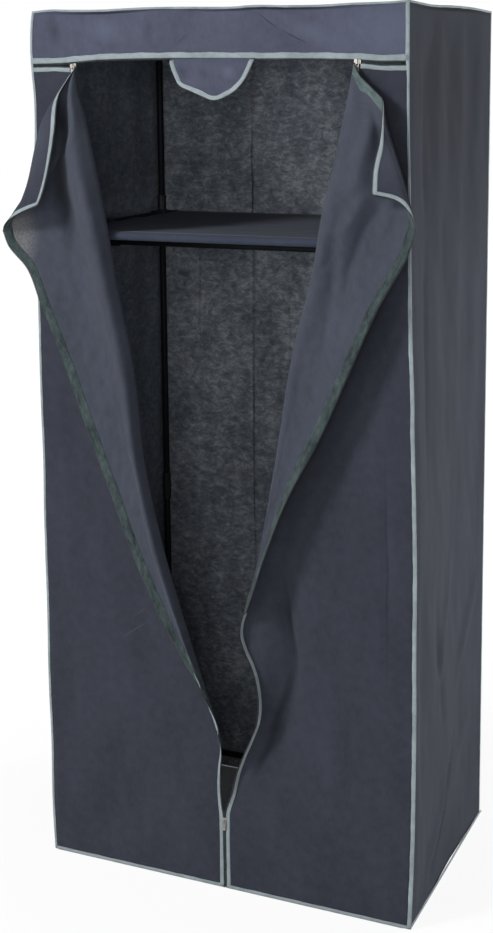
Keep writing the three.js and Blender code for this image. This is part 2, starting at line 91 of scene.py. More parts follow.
def smoothAt(stations, values, at):
    # A smooth curve through values at rising stations, read at other stations
    stations, values = np.asarray(stations, float), np.asarray(values, float)
    at = np.clip(np.asarray(at, float), stations[0], stations[-1])
    rowShape = (-1,) + (1,) * (values.ndim - 1)
    run = np.diff(stations).reshape(rowShape)
    slope = np.diff(values, axis=0) / run
    tangent = np.concatenate([slope[:1], (slope[:-1] + slope[1:]) / 2, slope[-1:]])
    k = np.clip(np.searchsorted(stations, at, side="right") - 1, 0, len(stations) - 2)
    t = ((at - stations[k]) / (stations[k + 1] - stations[k])).reshape(rowShape)
    span = run[k]
    return ((2 * t**3 - 3 * t**2 + 1) * values[k] + (t**3 - 2 * t**2 + t) * span * tangent[k]
            + (3 * t**2 - 2 * t**3) * values[k + 1] + (t**3 - t**2) * span * tangent[k + 1])


def curveAt(table, at):
    # The smooth curve through a table's pairs, read at stations of any shape
    table = np.array(table, float)
    return smoothAt(table[:, 0], table[:, 1:], np.ravel(at))[:, 0].reshape(np.shape(at))


def evenAlong(points, shares):
    # A smooth line through points, read at shares of its length
    points = np.asarray(points, float)
    reach = lengthAlong(points)
    return smoothAt(reach / reach[-1], points, shares)


def ease(value, low, high):
    t = np.clip((value - low) / (high - low), 0, 1)
    return t * t * (3 - 2 * t)


def held(value, rise, fall):
    # Grows from zero to one over the first pair and goes back to zero over the second
    return ease(value, *rise) * (1 - ease(value, *fall))


def grooved(offset, width):
    # One on a line, gone at about twice the width to each side of it
    return np.exp(-((offset / width) ** 2))


rippleMix = {"waves": 7, "spread": (0.7, 1.6), "sum": 3.2}
creaseFade = 0.8  # below one, a crease keeps its height nearer to its ends


def ripple(u, v, seed, size, stretch=1.0):
    # Soft waves of about one unit, size millimetres apart, longer along v by stretch
    draw = np.random.default_rng(seed)
    total = np.zeros(np.broadcast(u, v).shape)
    for _ in range(rippleMix["waves"]):
        turn = draw.uniform(0, 2 * math.pi)
        wave = size * draw.uniform(*rippleMix["spread"])
        total += np.sin(2 * math.pi * (u * math.cos(turn) + v * math.sin(turn) / stretch) / wave
                        + draw.uniform(0, 2 * math.pi))
    return total / rippleMix["sum"]


def softWaves(u, v, layers, seedShift=0):
    # Each layer is a height, a seed, a size and a stretch
    return sum(height * ripple(u, v, seed + seedShift, size, stretch)
               for height, seed, size, stretch in layers)


def creases(x, z, table):
    # Ridges (or valleys, where the height is below zero) along lines, fading at their ends
    total = np.zeros(np.broadcast(x, z).shape)
    for line, width, height in table:
        line = np.array(line, float)
        best = np.full(total.shape, 1 / tiny)
        place = np.zeros(total.shape)
        count = len(line) - 1
        for k in range(count):
            run = line[k + 1] - line[k]
            t = np.clip(((x - line[k][0]) * run[0] + (z - line[k][1]) * run[1]) / (run @ run), 0, 1)
            gap = np.hypot(x - line[k][0] - t * run[0], z - line[k][1] - t * run[1])
            place = np.where(gap < best, (k + t) / count, place)
            best = np.minimum(best, gap)
        total += height * grooved(best, width) * np.clip(4 * place * (1 - place), 0, 1) ** creaseFade
    return total


def normalsOf(grid, sense=1):
    # Rows run down and columns to the right, seen from the face that the normals leave
    normal = np.cross(np.gradient(grid, axis=0), np.gradient(grid, axis=1)) * sense
    size = np.linalg.norm(normal, axis=-1, keepdims=True)
    return np.where(size > tiny, normal / np.maximum(size, tiny), np.array([0, -1.0, 0]))


def makeMesh(name, points, faces, materials, uv=None, smooth=True, weld=0.0):
    mesh = bpy.data.meshes.new(name)
    mesh.from_pydata([tuple(p) for p in np.asarray(points, float) * mm + middle], [], faces)
    for material in materials:
        mesh.materials.append(material)
    if uv is not None:
        layer = mesh.uv_layers.new(name="flat")
        loops = np.zeros(len(mesh.loops), np.int32)
        mesh.loops.foreach_get("vertex_index", loops)
        layer.data.foreach_set("uv", (np.asarray(uv, float)[loops] * mm).ravel())
    if weld:
        shape = bmesh.new()
        shape.from_mesh(mesh)
        bmesh.ops.remove_doubles(shape, verts=shape.verts, dist=weld * mm)
        bmesh.ops.dissolve_degenerate(shape, edges=shape.edges, dist=weld * mm / 4)
        shape.to_mesh(mesh)
        shape.free()
    mesh.polygons.foreach_set("use_smooth", [smooth] * len(mesh.polygons))
    mesh.update()
    piece = bpy.data.objects.new(name, mesh)
    bpy.context.scene.collection.objects.link(piece)
    return piece


def faceOutward(piece):
    # Turns every face of a closed piece to its outside
    shape = bmesh.new()
    shape.from_mesh(piece.data)
    bmesh.ops.recalc_face_normals(shape, faces=shape.faces)
    shape.to_mesh(piece.data)
    shape.free()


def gridFaces(rows, columns, first=0, flip=False):
    faces = []
    for i in range(rows - 1):
        for j in range(columns - 1):
            a = first + i * columns + j
            quad = (a, a + columns, a + columns + 1, a + 1)
            faces.append(quad[::-1] if flip else quad)
    return faces


def bandFaces(rings, sides):
    # Quads between closed rings that follow each other
    faces = []
    for i in range(rings - 1):
        for k in range(sides):
            n = (k + 1) % sides
            faces.append((i * sides + k, i * sides + n, (i + 1) * sides + n, (i + 1) * sides + k))
    return faces


clothWeld = 0.03


def clothPiece(name, patches, materials, sense=1, thickness=0.6):
    # Patches are grids with their flat places; shared borders are welded
    points, uv, faces = [], [], []
    for grid, flat in patches:
        faces += gridFaces(grid.shape[0], grid.shape[1], len(points), sense < 0)
        points += list(grid.reshape(-1, 3))
        uv += list(flat.reshape(-1, 2))
    piece = makeMesh(name, points, faces, materials, uv, weld=clothWeld)
    wall = piece.modifiers.new("thickness", "SOLIDIFY")
    wall.thickness = thickness * mm
    wall.offset = 0
    wall.material_offset = 1
    wall.use_even_offset = False
    return piece


def tube(name, rails, section, material):
    # Rails hold, for each station, the closed section's points
    count, sides = rails.shape[:2]
    reach = lengthAlong(rails.mean(1))
    uv = [(a - b, reach[i]) for i in range(count) for a, b in section]
    ends = [tuple(range(sides))[::-1], tuple((count - 1) * sides + j for j in range(sides))]
    piece = makeMesh(name, rails.reshape(-1, 3), ends + bandFaces(count, sides), [material], uv)
    faceOutward(piece)
    return piece


# Hand sewing: a section's width swells and thins by these shares over these lengths, but not
# nearer to the edge than edgeBand
sewing = {"slow": (0.05, 11), "quick": (0.03, 4.3), "edgeBand": 1.5}


def sweep(name, spine, inward, off, section, material, widths=None):
    # A section swept along a line: each pair is how far inward and how far off the face
    spine, inward, off = (np.asarray(x, float) for x in (spine, inward, off))
    reach = lengthAlong(spine)
    scale = np.ones(len(spine)) if widths is None else np.asarray(widths, float)
    (slow, slowLength), (quick, quickLength) = sewing["slow"], sewing["quick"]
    scale = scale * (1 + slow * np.sin(reach / slowLength) + quick * np.sin(reach / quickLength))
    rails = []
    for a, b in section:
        into = a * scale if a > sewing["edgeBand"] else np.full_like(scale, a)
        rails.append(spine + inward * into[:, None] + off * b)
    return tube(name, np.stack(rails, 1), section, material)


# Finishes: each colour is how the photo's daylight shows it, 0 to 255
def tone(red, green, blue):
    # From a screen's colour to the linear one that shaders take
    values = [c / 255 for c in (red, green, blue)]
    return tuple([c / 12.92 if c <= 0.04045 else ((c + 0.055) / 1.055) ** 2.4 for c in values] + [1.0])


def shaded(colour, share):
    return tone(*[c * share for c in colour])


class NodeTree:
    # Short ways to add and join a tree's nodes: a value is plain, or another node's socket
    def __init__(self, tree):
        self.tree = tree

    def give(self, socket, value):
        if isinstance(value, bpy.types.NodeSocket):
            self.tree.links.new(value, socket)
        else:
            socket.default_value = value

    def node(self, kind, values=None, **settings):
        made = self.tree.nodes.new(kind)
        for key, value in settings.items():
            setattr(made, key, value)
        for key, value in (values or {}).items():
            self.give(made.inputs[key], value)
        return made

    def math(self, operation, a, b=0.0):
        return self.node("ShaderNodeMath", {0: a, 1: b}, operation=operation).outputs[0]

    def span(self, value, low, high, newLow, newHigh):
        return self.node("ShaderNodeMapRange", {"Value": value, "From Min": low, "From Max": high,
                                                "To Min": newLow, "To Max": newHigh}).outputs["Result"]


# Painted shade and painted light lines waver: the noise's scale and detail, how many metres, and the line's
# solid core
paintedLineWander = {"scale": 13.0, "detail": 3.0, "reach": 0.006, "core": 0.15}


class Finish(NodeTree):
    # A material that reads a cloth's flat places or an object's own
    def __init__(self, name):
        self.material = bpy.data.materials.new(name)
        self.material.use_nodes = True
        super().__init__(self.material.node_tree)
        self.shader = self.tree.nodes["Principled BSDF"]
        self.bumps = None

    def flat(self):
        return self.node("ShaderNodeUVMap", uv_map="flat").outputs["UV"]

    def place(self):
        return self.node("ShaderNodeTexCoord").outputs["Object"]

    def noise(self, place, scale, detail, roughness, distortion=0.0, stretch=None):
        if stretch:
            place = self.node("ShaderNodeMapping", {"Vector": place, "Scale": stretch}).outputs["Vector"]
        return self.node("ShaderNodeTexNoise", {"Vector": place, "Scale": scale, "Detail": detail,
                                                "Roughness": roughness,
                                                "Distortion": distortion}).outputs["Fac"]

    def threads(self, place, scale, waver, direction):
        return self.node("ShaderNodeTexWave", {"Vector": place, "Scale": scale, "Distortion": waver,
                                               "Detail": 1.0}, bands_direction=direction).outputs["Fac"]

    def blend(self, a, b, shares):
        return self.math("ADD", self.math("MULTIPLY", a, shares[0]), self.math("MULTIPLY", b, shares[1]))

    def ramp(self, factor, stops):
        made = self.node("ShaderNodeValToRGB", {"Fac": factor})
        while len(made.color_ramp.elements) < len(stops):
            made.color_ramp.elements.new(0.5)
        for element, (place, colour) in zip(made.color_ramp.elements, stops):
            element.position = place
            element.color = colour
        return made.outputs["Color"]

    def mix(self, factor, a, b):
        return self.node("ShaderNodeMix", {0: factor, 6: a, 7: b}, data_type="RGBA").outputs[2]

    def paintedShadeAndLight(self, colour, flat, paintedMarks, dark, light):
        # Painted shade along folds, creases and hollows, and painted light on lit places: a line's two ends,
        # its half width and how dark it is (light, where below zero), all in the sheet's flat millimetres
        reach = paintedLineWander["reach"]
        wander = self.node("ShaderNodeTexNoise", {"Vector": flat, "Scale": paintedLineWander["scale"],
                                                  "Detail": paintedLineWander["detail"]}).outputs["Color"]
        bent = self.node("ShaderNodeVectorMath", {0: wander, 1: (reach, reach, 0), 2: flat},
                         operation="MULTIPLY_ADD").outputs["Vector"]
        for ((startX, startZ), (endX, endZ)), width, strength in paintedMarks:
            half = math.hypot(endX - startX, endZ - startZ) / 2
            spot = ((startX + endX) / 2 * mm + reach / 2, (startZ + endZ) / 2 * mm + reach / 2, 0)
            turn = math.atan2(endZ - startZ, endX - startX)
            turned = self.node("ShaderNodeMapping", {"Vector": bent, "Location": spot,
                                                     "Rotation": (0, 0, turn),
                                                     "Scale": (half * mm, width * mm, 1)},
                               vector_type="TEXTURE").outputs["Vector"]
            away = self.node("ShaderNodeVectorMath", {0: turned}, operation="LENGTH").outputs["Value"]
            near = self.span(away, paintedLineWander["core"], 1.0, abs(strength), 0.0)
            colour = self.mix(near, colour, dark if strength > 0 else light)
        return colour

    def bump(self, height, distance, strength=1.0):
        values = {"Height": height, "Distance": distance, "Strength": strength}
        if self.bumps is not None:
            values["Normal"] = self.bumps
        self.bumps = self.node("ShaderNodeBump", values).outputs["Normal"]

    def done(self, colour, roughness, **plain):
        self.give(self.shader.inputs["Base Color"], colour)
        self.give(self.shader.inputs["Roughness"], roughness)
        for key, value in plain.items():
            self.shader.inputs[key.replace("_", " ")].default_value = value
        if self.bumps is not None:
            self.tree.links.new(self.bumps, self.shader.inputs["Normal"])
        return self.material


# Noises are scale, detail, roughness, distortion and stretch; depths are metres and a strength;
# spans are a pattern's low and high, and the shares that they become
noiseSpan = (0.3, 0.7)
# Two shares scale the cloth's dark colour for painted shade lines and its light colour for painted light
# lines
weaveLook = {"crumple": (7.0, 3.0, 0.55, 0.0, (1.6, 0.7, 1)), "cloud": (55.0, 3.0, 0.6),
             "mix": (0.55, 0.45), "slub": (900.0, 2.0, 0.6, 0.0, (1.0, 0.06, 1)), "slubLight": 1.28,
             "slubSpan": (0.35, 0.75, 0.0, 0.16), "fibres": (260.0, 4.0, 0.7),
             "fibreSpan": (0.35, 0.62, 0.15, 0.95), "paintedGlowCore": 0.55, "threads": (420.0, 0.6),
             "paintedShadeShare": 0.55, "paintedLightShare": 1.3, "crumpleDepth": (0.004, 0.5), "cloudDepth": (0.0009, 0.5),
             "weaveStrength": 0.8, "rough": (0.78, 0.92),
             "plain": {"Sheen_Weight": 0.08, "Sheen_Roughness": 0.45, "Specular_IOR_Level": 0.05}}


def smoothClothFinish(name, dark, light, grain=0.00016, paintedGlow=None, paintedMarks=()):
    # Close plain weave with slack threads and soft crumples; painted shade and painted light lines where they
    # are given
    look = weaveLook
    finish = Finish(name)
    flat = finish.flat()
    crumple = finish.noise(flat, *look["crumple"])
    cloud = finish.noise(flat, *look["cloud"])
    slub = finish.noise(flat, *look["slub"])
    weave = finish.math("MULTIPLY", finish.threads(flat, *look["threads"], "X"),
                        finish.threads(flat, *look["threads"], "Y"))
    mixed = finish.blend(crumple, cloud, look["mix"])
    base = finish.ramp(mixed, list(zip(noiseSpan, (tone(*dark), tone(*light)))))
    colour = finish.mix(finish.span(slub, *look["slubSpan"]), base, shaded(light, look["slubLight"]))
    if paintedGlow:
        # Painted light: where the cloth hangs clear of all behind it, a lighter patch stands in for the light
        # that comes through its fibres
        spot = (paintedGlow["place"][0] * mm, paintedGlow["place"][1] * mm, 0)
        gap = finish.node("ShaderNodeVectorMath", {0: flat, 1: spot}, operation="DISTANCE").outputs["Value"]
        fibres = finish.noise(flat, *look["fibres"])
        near = finish.span(gap, paintedGlow["reach"] * mm * look["paintedGlowCore"], paintedGlow["reach"] * mm, 1.0, 0.0)
        colour = finish.mix(finish.math("MULTIPLY", near, finish.span(fibres, *look["fibreSpan"])), colour,
                            tone(*paintedGlow["colour"]))
    if paintedMarks:
        # Painted shade along folds and painted light on lit places
        colour = finish.paintedShadeAndLight(colour, flat, paintedMarks, shaded(dark, look["paintedShadeShare"]),
                               shaded(light, look["paintedLightShare"]))
    finish.bump(crumple, *look["crumpleDepth"])
    finish.bump(cloud, *look["cloudDepth"])
    finish.bump(weave, grain, look["weaveStrength"])
    return finish.done(colour, finish.span(cloud, *noiseSpan, *look["rough"]), **look["plain"])


feltLook = {"blotch": (58.0, 5.0, 0.72, 0.6, (0.8, 1.15, 1)),
            "wisp": (110.0, 5.0, 0.75, 0.9, (0.7, 1.2, 1)),
            "fibre": (620.0, 3.0, 0.65, 0.0, (1.0, 0.5, 1)), "cloud": (12.0, 3.0, 0.55, 0.0, (1.0, 0.6, 1)),
            "broadMix": (0.36, 0.2), "closeMix": (0.28, 0.16), "warm": (1.03, 0.985, 0.95),
            "tint": (17.0, 3.0, 0.6), "tintSpan": (0.5, 0.68, 0.0, 0.35), "dots": 620.0, "dotShift": 0.12,
            "dotSpan": (0.12, 0.34, 0.0, 1.0), "dotShare": 0.18, "dotShade": (18, 19, 22),
            "pitSpan": (0.5, 1.0), "paintedCreaseShade": 0.45, "cloudDepth": (0.006, 0.35),
            "blotchDepth": (0.0016, 0.5), "dotDepth": (0.00025, 0.8), "rough": (0.86, 0.98),
            "plain": {"Sheen_Weight": 0.1, "Sheen_Roughness": 0.6, "Specular_IOR_Level": 0.03}}


def feltFinish(name, stops, paintedMarks=()):
    # Pressed non-woven: matted fibres in blotches and wisps, under a grid of small welded dots
    look = feltLook
    finish = Finish(name)
    flat = finish.flat()
    blotch = finish.noise(flat, *look["blotch"])
    wisp = finish.noise(flat, *look["wisp"])
    fibre = finish.noise(flat, *look["fibre"])
    cloud = finish.noise(flat, *look["cloud"])
    dots = finish.node("ShaderNodeTexVoronoi", {"Vector": flat, "Scale": look["dots"],
                                                "Randomness": look["dotShift"]},
                       feature="F1").outputs["Distance"]
    pit = finish.span(dots, *look["dotSpan"])
    mixed = finish.math("ADD", finish.blend(blotch, cloud, look["broadMix"]),
                        finish.blend(wisp, fibre, look["closeMix"]))
    base = finish.ramp(mixed, [(place, tone(*colour)) for place, colour in stops])
    warm = finish.ramp(mixed, [(place, tone(*[c * share for c, share in zip(colour, look["warm"])]))
                               for place, colour in stops])
    base = finish.mix(finish.span(finish.noise(flat, *look["tint"]), *look["tintSpan"]), base, warm)
    colour = finish.mix(finish.span(pit, 0, 1, look["dotShare"], 0.0), base, tone(*look["dotShade"]))
    if paintedMarks:
        # Painted shade along the felt's creases, painted light with its lightest colour
        low, high = stops[0][1], stops[-1][1]
        colour = finish.paintedShadeAndLight(colour, flat, paintedMarks, shaded(low, look["paintedCreaseShade"]), tone(*high))
    finish.bump(cloud, *look["cloudDepth"])
    finish.bump(blotch, *look["blotchDepth"])
    finish.bump(finish.math("MULTIPLY", pit, finish.span(fibre, 0, 1, *look["pitSpan"])), *look["dotDepth"])
    return finish.done(colour, finish.span(blotch, *noiseSpan, *look["rough"]), **look["plain"])


tapeLook = {"dirt": (120.0, 4.0, 0.65, 0.0, (1.0, 0.5, 1)), "wide": (16.0, 2.0, 0.5), "mix": (0.5, 0.5),
            "stops": (0.32, 0.66), "blotchStops": (0.5, 0.6), "ribWaver": 0.8, "ribShade": 0.6,
            "ribShare": 0.14, "wideDepth": (0.0012, 0.4), "dirtDepth": (0.0004, 0.4),
            "ribDepth": (0.00012, 0.7), "rough": (0.7, 0.85),
            "plain": {"Sheen_Weight": 0.15, "Sheen_Roughness": 0.4, "Specular_IOR_Level": 0.12}}


def tapeFinish(name, dark, light, ribs=1500.0, blotchy=0.0):
    # Woven narrow tape: ribs across it, and dirt in patches
    look = tapeLook
    finish = Finish(name)
    flat = finish.flat()
    rib = finish.threads(flat, ribs, look["ribWaver"], "Y")
    dirt = finish.noise(flat, *look["dirt"])
    wide = finish.noise(flat, *look["wide"])
    mixed = finish.blend(dirt, wide, (look["mix"][0] + blotchy, look["mix"][1]))
    stops = [stop + blotchy * more for stop, more in zip(look["stops"], look["blotchStops"])]
    base = finish.ramp(mixed, list(zip(stops, (tone(*dark), tone(*light)))))
    colour = finish.mix(finish.span(rib, 0, 1, look["ribShare"], 0.0), base, shaded(dark, look["ribShade"]))
    finish.bump(wide, *look["wideDepth"])
    finish.bump(dirt, *look["dirtDepth"])
    finish.bump(rib, *look["ribDepth"])
    return finish.done(colour, finish.span(dirt, *noiseSpan, *look["rough"]), **look["plain"])


# Orange-peel powder coat, moulded plastic, cast zinc and zip teeth, in this order
hardLooks = {
    "blackPowderCoat": {"skin": (1400.0, 2.0, 0.5), "skinDepth": (0.00006, 0.6), "wear": (60.0, 4.0, 0.6),
                        "dark": (0.3, (22, 24, 27)), "light": (0.72, (34, 36, 40)), "rough": (0.5, 0.64),
                        "plain": {"Specular_IOR_Level": 0.16}},
    "blackMoulding": {"skin": (2400.0, 2.0, 0.6), "skinDepth": (0.00005, 0.7), "wear": (45.0, 3.0, 0.5),
                      "wearDepth": (0.0004, 0.25), "dark": (0.3, (24, 25, 28)), "light": (0.7, (33, 34, 38)),
                      "rough": (0.48, 0.62)},
    "zincCasting": {"skin": (2600.0, 3.0, 0.6, 0.0, (1, 1, 0.12)), "skinDepth": (0.00004, 0.6),
                    "wear": (420.0, 4.0, 0.6), "dark": (0.3, (138, 134, 126)),
                    "light": (0.62, (184, 181, 173)), "rough": (0.3, 0.5), "plain": {"Metallic": 0.85}},
    "zipTeeth": {"skin": (900.0, 3.0, 0.6), "skinDepth": (0.00005, 0.5), "wear": (900.0, 3.0, 0.6),
                 "dark": (0.3, (26, 29, 32)), "light": (0.72, (52, 57, 60)), "rough": (0.4, 0.6)},
}


def hardFinish(name):
    look = hardLooks[name]
    finish = Finish(name)
    place = finish.place()
    wear = finish.noise(place, *look["wear"])
    finish.bump(finish.noise(place, *look["skin"]), *look["skinDepth"])
    if "wearDepth" in look:
        finish.bump(wear, *look["wearDepth"])
    colour = finish.ramp(wear, [(stop, tone(*shade)) for stop, shade in (look["dark"], look["light"])])
    return finish.done(colour, finish.span(wear, *noiseSpan, *look["rough"]), **look.get("plain", {}))


# Painted shade along folds, creases and hollows, and painted light on lit places, for each cloth, as the
# line-painting method reads them
paintedShadeLines = {
    # Right door: painted shade along its crease and fold valley, painted light over its upper part
    "rightDoor": [(((318, 900), (322, 400)), 3.0, 0.3), (((119, 620), (142, 420)), 9, 0.55),
                  (((143, 460), (84, 265)), 10, 0.5), (((104, 310), (60, 220)), 9, 0.4),
                  (((20, 1475), (200, 1485)), 60, -0.5)],
    # Left door: two thin painted highlight lines, painted light over its upper part
    "leftDoor": [(((-207, 449), (-139, 500)), 1.6, -0.5), (((-181, 495), (-142, 525)), 1.4, -0.4),
                 (((-30, 1470), (-200, 1480)), 60, -0.45)],
    # Right side: painted shade over its upper part, and a painted shadow line under the top binding
    "rightSide": [(((0, 1800), (0, 1080)), 420, 0.42), (((-230, 1594.5), (230, 1594.5)), 3.4, 0.95)],
    # Header: painted shadow lines under the top binding and along its creases, painted shade and painted
    # light in patches
    "header": [(((-350, 1594.5), (-60, 1595.5)), 3.2, 0.95), (((-110, 1595.5), (350, 1595)), 3.2, 0.95),
               (((-318, 1597), (-304, 1537)), 16, 0.35), (((-120, 1597), (-117, 1534)), 14, 0.18),
               (((-250, 1570), (-160, 1556)), 26, -0.3), (((-63, 1513), (-44, 1480)), 13, 0.35),
               (((-20, 1488), (-6, 1500)), 14, 0.2), (((20, 1500), (52, 1490)), 15, -0.3),
               (((84, 1590), (130, 1559)), 1.5, 0.9), (((126, 1562), (185, 1535)), 1.5, 0.9),
               (((-40, 1560), (-75, 1530)), 3.0, 0.25), (((90, 1590), (260, 1528)), 22, -0.25),
               (((170, 1556), (470, 1556)), 70, -0.3)],
    # Left flap's inside: painted shade in its hollow
    "tip": [(((-240, 1487), (-165, 1425)), 20, 0.7), (((-178, 1445), (-92, 1235)), 34, 0.75)],
    # Back: painted shade along its creases
    "back": [(((-141, 1500), (-138, 980)), 2.6, 0.8), (((-137, 1040), (-142, 380)), 2.6, 0.8),
             (((-259, 1230), (-262, 880)), 4.0, 0.3), (((-60, 1180), (-52, 560)), 4.0, 0.25)],
}
coverShades = ((51, 54, 63), (67, 70, 81))
# The doors' inside faces are painted lighter than the outside, as light falls on them: painted light
paintedLightInsideShades = ((62, 66, 77), (79, 84, 96))
tapeShades = ((36, 46, 49), (86, 99, 100))
# The right door's top zip tape is painted lighter, as it faces up to the light: painted light
litTapeShades = ((70, 84, 86), (122, 138, 138))
insideGrain = 0.00012
# Painted light through the left tip's cloth: the lighter patch's place, reach and colour
tipPaintedGlow = {"place": (4.5, 1372), "reach": 74.0, "colour": (128, 127, 126)}
zipRibs = {"ribs": 1100.0, "blotchy": 0.25}
threadRibs = 3000.0

coverOutside = smoothClothFinish("coverOutside", *coverShades)
rightDoorOutside = smoothClothFinish("rightDoorOutside", *coverShades, paintedMarks=paintedShadeLines["rightDoor"])
leftDoorOutside = smoothClothFinish("leftDoorOutside", *coverShades, paintedMarks=paintedShadeLines["leftDoor"])
rightSideOutside = smoothClothFinish("rightSideOutside", *coverShades, paintedMarks=paintedShadeLines["rightSide"])
# The header and its tab are painted lighter than the rest of the cover, as light falls from above: painted
# light
headerOutsidePaintedLight = smoothClothFinish("headerOutsidePaintedLight", (73, 77, 92), (90, 94, 112), paintedMarks=paintedShadeLines["header"])
# Inside faces of the doors take the lighter, painted light shades; the left tip's also carries painted shade
# in its hollow and a painted glow
doorInsidePaintedLight = smoothClothFinish("doorInsidePaintedLight", *paintedLightInsideShades, grain=insideGrain)
tipInsidePaintedLightAndShade = smoothClothFinish("tipInsidePaintedLightAndShade", *paintedLightInsideShades, grain=insideGrain, paintedMarks=paintedShadeLines["tip"],
                              paintedGlow=tipPaintedGlow)
shelfFinish = smoothClothFinish("shelfCloth", (56, 61, 74), (68, 74, 90))
# The felt of the inner faces is painted lighter than the outer face's felt, the side walls' less than the
# rest so that they read as shaded: painted light and painted shade
insideFeltPaintedLight = feltFinish("paintedLightFelt", [(0.4, (98, 106, 117)), (0.5, (145, 152, 162)), (0.6, (206, 211, 218))],
                     paintedMarks=paintedShadeLines["back"])
sideFeltPaintedLight = feltFinish("paintedLightSideFelt", [(0.39, (84, 91, 102)), (0.5, (114, 121, 133)),
                                             (0.6, (150, 157, 168))])
mottledOuter = feltFinish("mottledOuterFelt", [(0.36, (66, 71, 76)), (0.5, (82, 87, 93)),
                                               (0.64, (102, 107, 111))])
bindingFinish = tapeFinish("edgeBinding", (138, 150, 155), (182, 194, 198))
zipTapeFinish = tapeFinish("zipTape", *tapeShades, **zipRibs)
litTapeFinish = tapeFinish("topZipTapePaintedLight", *litTapeShades, **zipRibs)
threadFinish = tapeFinish("sewingThread", (150, 160, 164), (182, 190, 192), ribs=threadRibs)
darkThread = tapeFinish("darkThread", (66, 76, 79), (96, 106, 108), ribs=threadRibs)
steel, moulding, zinc, teethFinish = (hardFinish(name) for name in hardLooks)
print("stage: finishes made")


# Geometry Nodes: one small bead repeated at even steps along a line, lying along it.
# It makes the zip teeth, and with longer beads the stitches.
beadShape = {"Segments": 6, "Rings": 4, "Radius": 0.5}


def beadTree():
    tree = bpy.data.node_groups.new("beadsAlongLine", "GeometryNodeTree")
    tree.interface.new_socket("Geometry", in_out="INPUT", socket_type="NodeSocketGeometry")
    for label, value in (("Spacing", 0.002), ("Length", 0.001), ("Width", 0.001), ("Height", 0.001)):
        socket = tree.interface.new_socket(label, in_out="INPUT", socket_type="NodeSocketFloat")
        socket.default_value = value
    tree.interface.new_socket("Material", in_out="INPUT", socket_type="NodeSocketMaterial")
    tree.interface.new_socket("Geometry", in_out="OUTPUT", socket_type="NodeSocketGeometry")
    add, join = tree.nodes.new, tree.links.new
    start, end = add("NodeGroupInput"), add("NodeGroupOutput")
    line = add("GeometryNodeMeshToCurve")
    evenly = add("GeometryNodeResampleCurve")
    evenly.mode = "LENGTH"
    tangent = add("GeometryNodeInputTangent")
    face = add("GeometryNodeInputNamedAttribute")
    face.data_type = "FLOAT_VECTOR"
    face.inputs["Name"].default_value = "faceAxis"
    turn = add("FunctionNodeAxesToRotation")
    turn.primary_axis = "X"
    turn.secondary_axis = "Z"
    bead = add("GeometryNodeMeshUVSphere")
    for label, value in beadShape.items():
        bead.inputs[label].default_value = value
    size = add("ShaderNodeCombineXYZ")
    onPoints = add("GeometryNodeInstanceOnPoints")
    real = add("GeometryNodeRealizeInstances")
    finish = add("GeometryNodeSetMaterial")
    join(start.outputs["Geometry"], line.inputs["Mesh"])
    join(line.outputs["Curve"], evenly.inputs["Curve"])
    join(start.outputs["Spacing"], evenly.inputs["Length"])
    join(evenly.outputs["Curve"], onPoints.inputs["Points"])
    join(tangent.outputs["Tangent"], turn.inputs["Primary Axis"])
    join(face.outputs["Attribute"], turn.inputs["Secondary Axis"])
    join(bead.outputs["Mesh"], onPoints.inputs["Instance"])
    join(turn.outputs["Rotation"], onPoints.inputs["Rotation"])
    join(start.outputs["Length"], size.inputs["X"])
    join(start.outputs["Width"], size.inputs["Y"])
    join(start.outputs["Height"], size.inputs["Z"])
    join(size.outputs["Vector"], onPoints.inputs["Scale"])
    join(onPoints.outputs["Instances"], real.inputs["Geometry"])
    join(real.outputs["Geometry"], finish.inputs["Geometry"])
    join(start.outputs["Material"], finish.inputs["Material"])
    join(finish.outputs["Geometry"], end.inputs["Geometry"])
    return tree


beads = beadTree()


def beadRow(name, lines, settings, material):
    # lines holds pairs of a line and the way its beads face
    points, edges, faces = [], [], []
    for spine, facing in lines:
        first = len(points)
        points += [tuple(p) for p in np.asarray(spine, float) * mm + middle]
        faces += [tuple(f) for f in np.asarray(facing, float)]
        edges += [(first + k, first + k + 1) for k in range(len(spine) - 1)]
    mesh = bpy.data.meshes.new(name + "Line")
    mesh.from_pydata(points, edges, [])
    axis = mesh.attributes.new("faceAxis", "FLOAT_VECTOR", "POINT")
    axis.data.foreach_set("vector", np.asarray(faces, np.float32).ravel())
    holder = bpy.data.objects.new(name + "Line", mesh)
    bpy.context.scene.collection.objects.link(holder)
    modifier = holder.modifiers.new("beads", "NODES")
    modifier.node_group = beads
    sockets = {item.name: item.identifier for item in beads.interface.items_tree
               if item.item_type == "SOCKET" and item.in_out == "INPUT"}
    for label, value in settings.items():
        modifier[sockets[label]] = value * mm
    modifier[sockets["Material"]] = material
    view = bpy.context.evaluated_depsgraph_get()
    made = bpy.data.meshes.new_from_object(holder.evaluated_get(view))
    bpy.data.objects.remove(holder)
    made.polygons.foreach_set("use_smooth", [True] * len(made.polygons))
    made.name = name
    if not made.materials:
        made.materials.append(material)
    piece = bpy.data.objects.new(name, made)
    bpy.context.scene.collection.objects.link(piece)
    return piece


teethSize = {"Spacing": 2.0, "Length": 1.25, "Width": 2.6, "Height": 2.0}
stitchSize = {"Spacing": 4.0, "Length": 3.0, "Width": 0.7, "Height": 0.55}

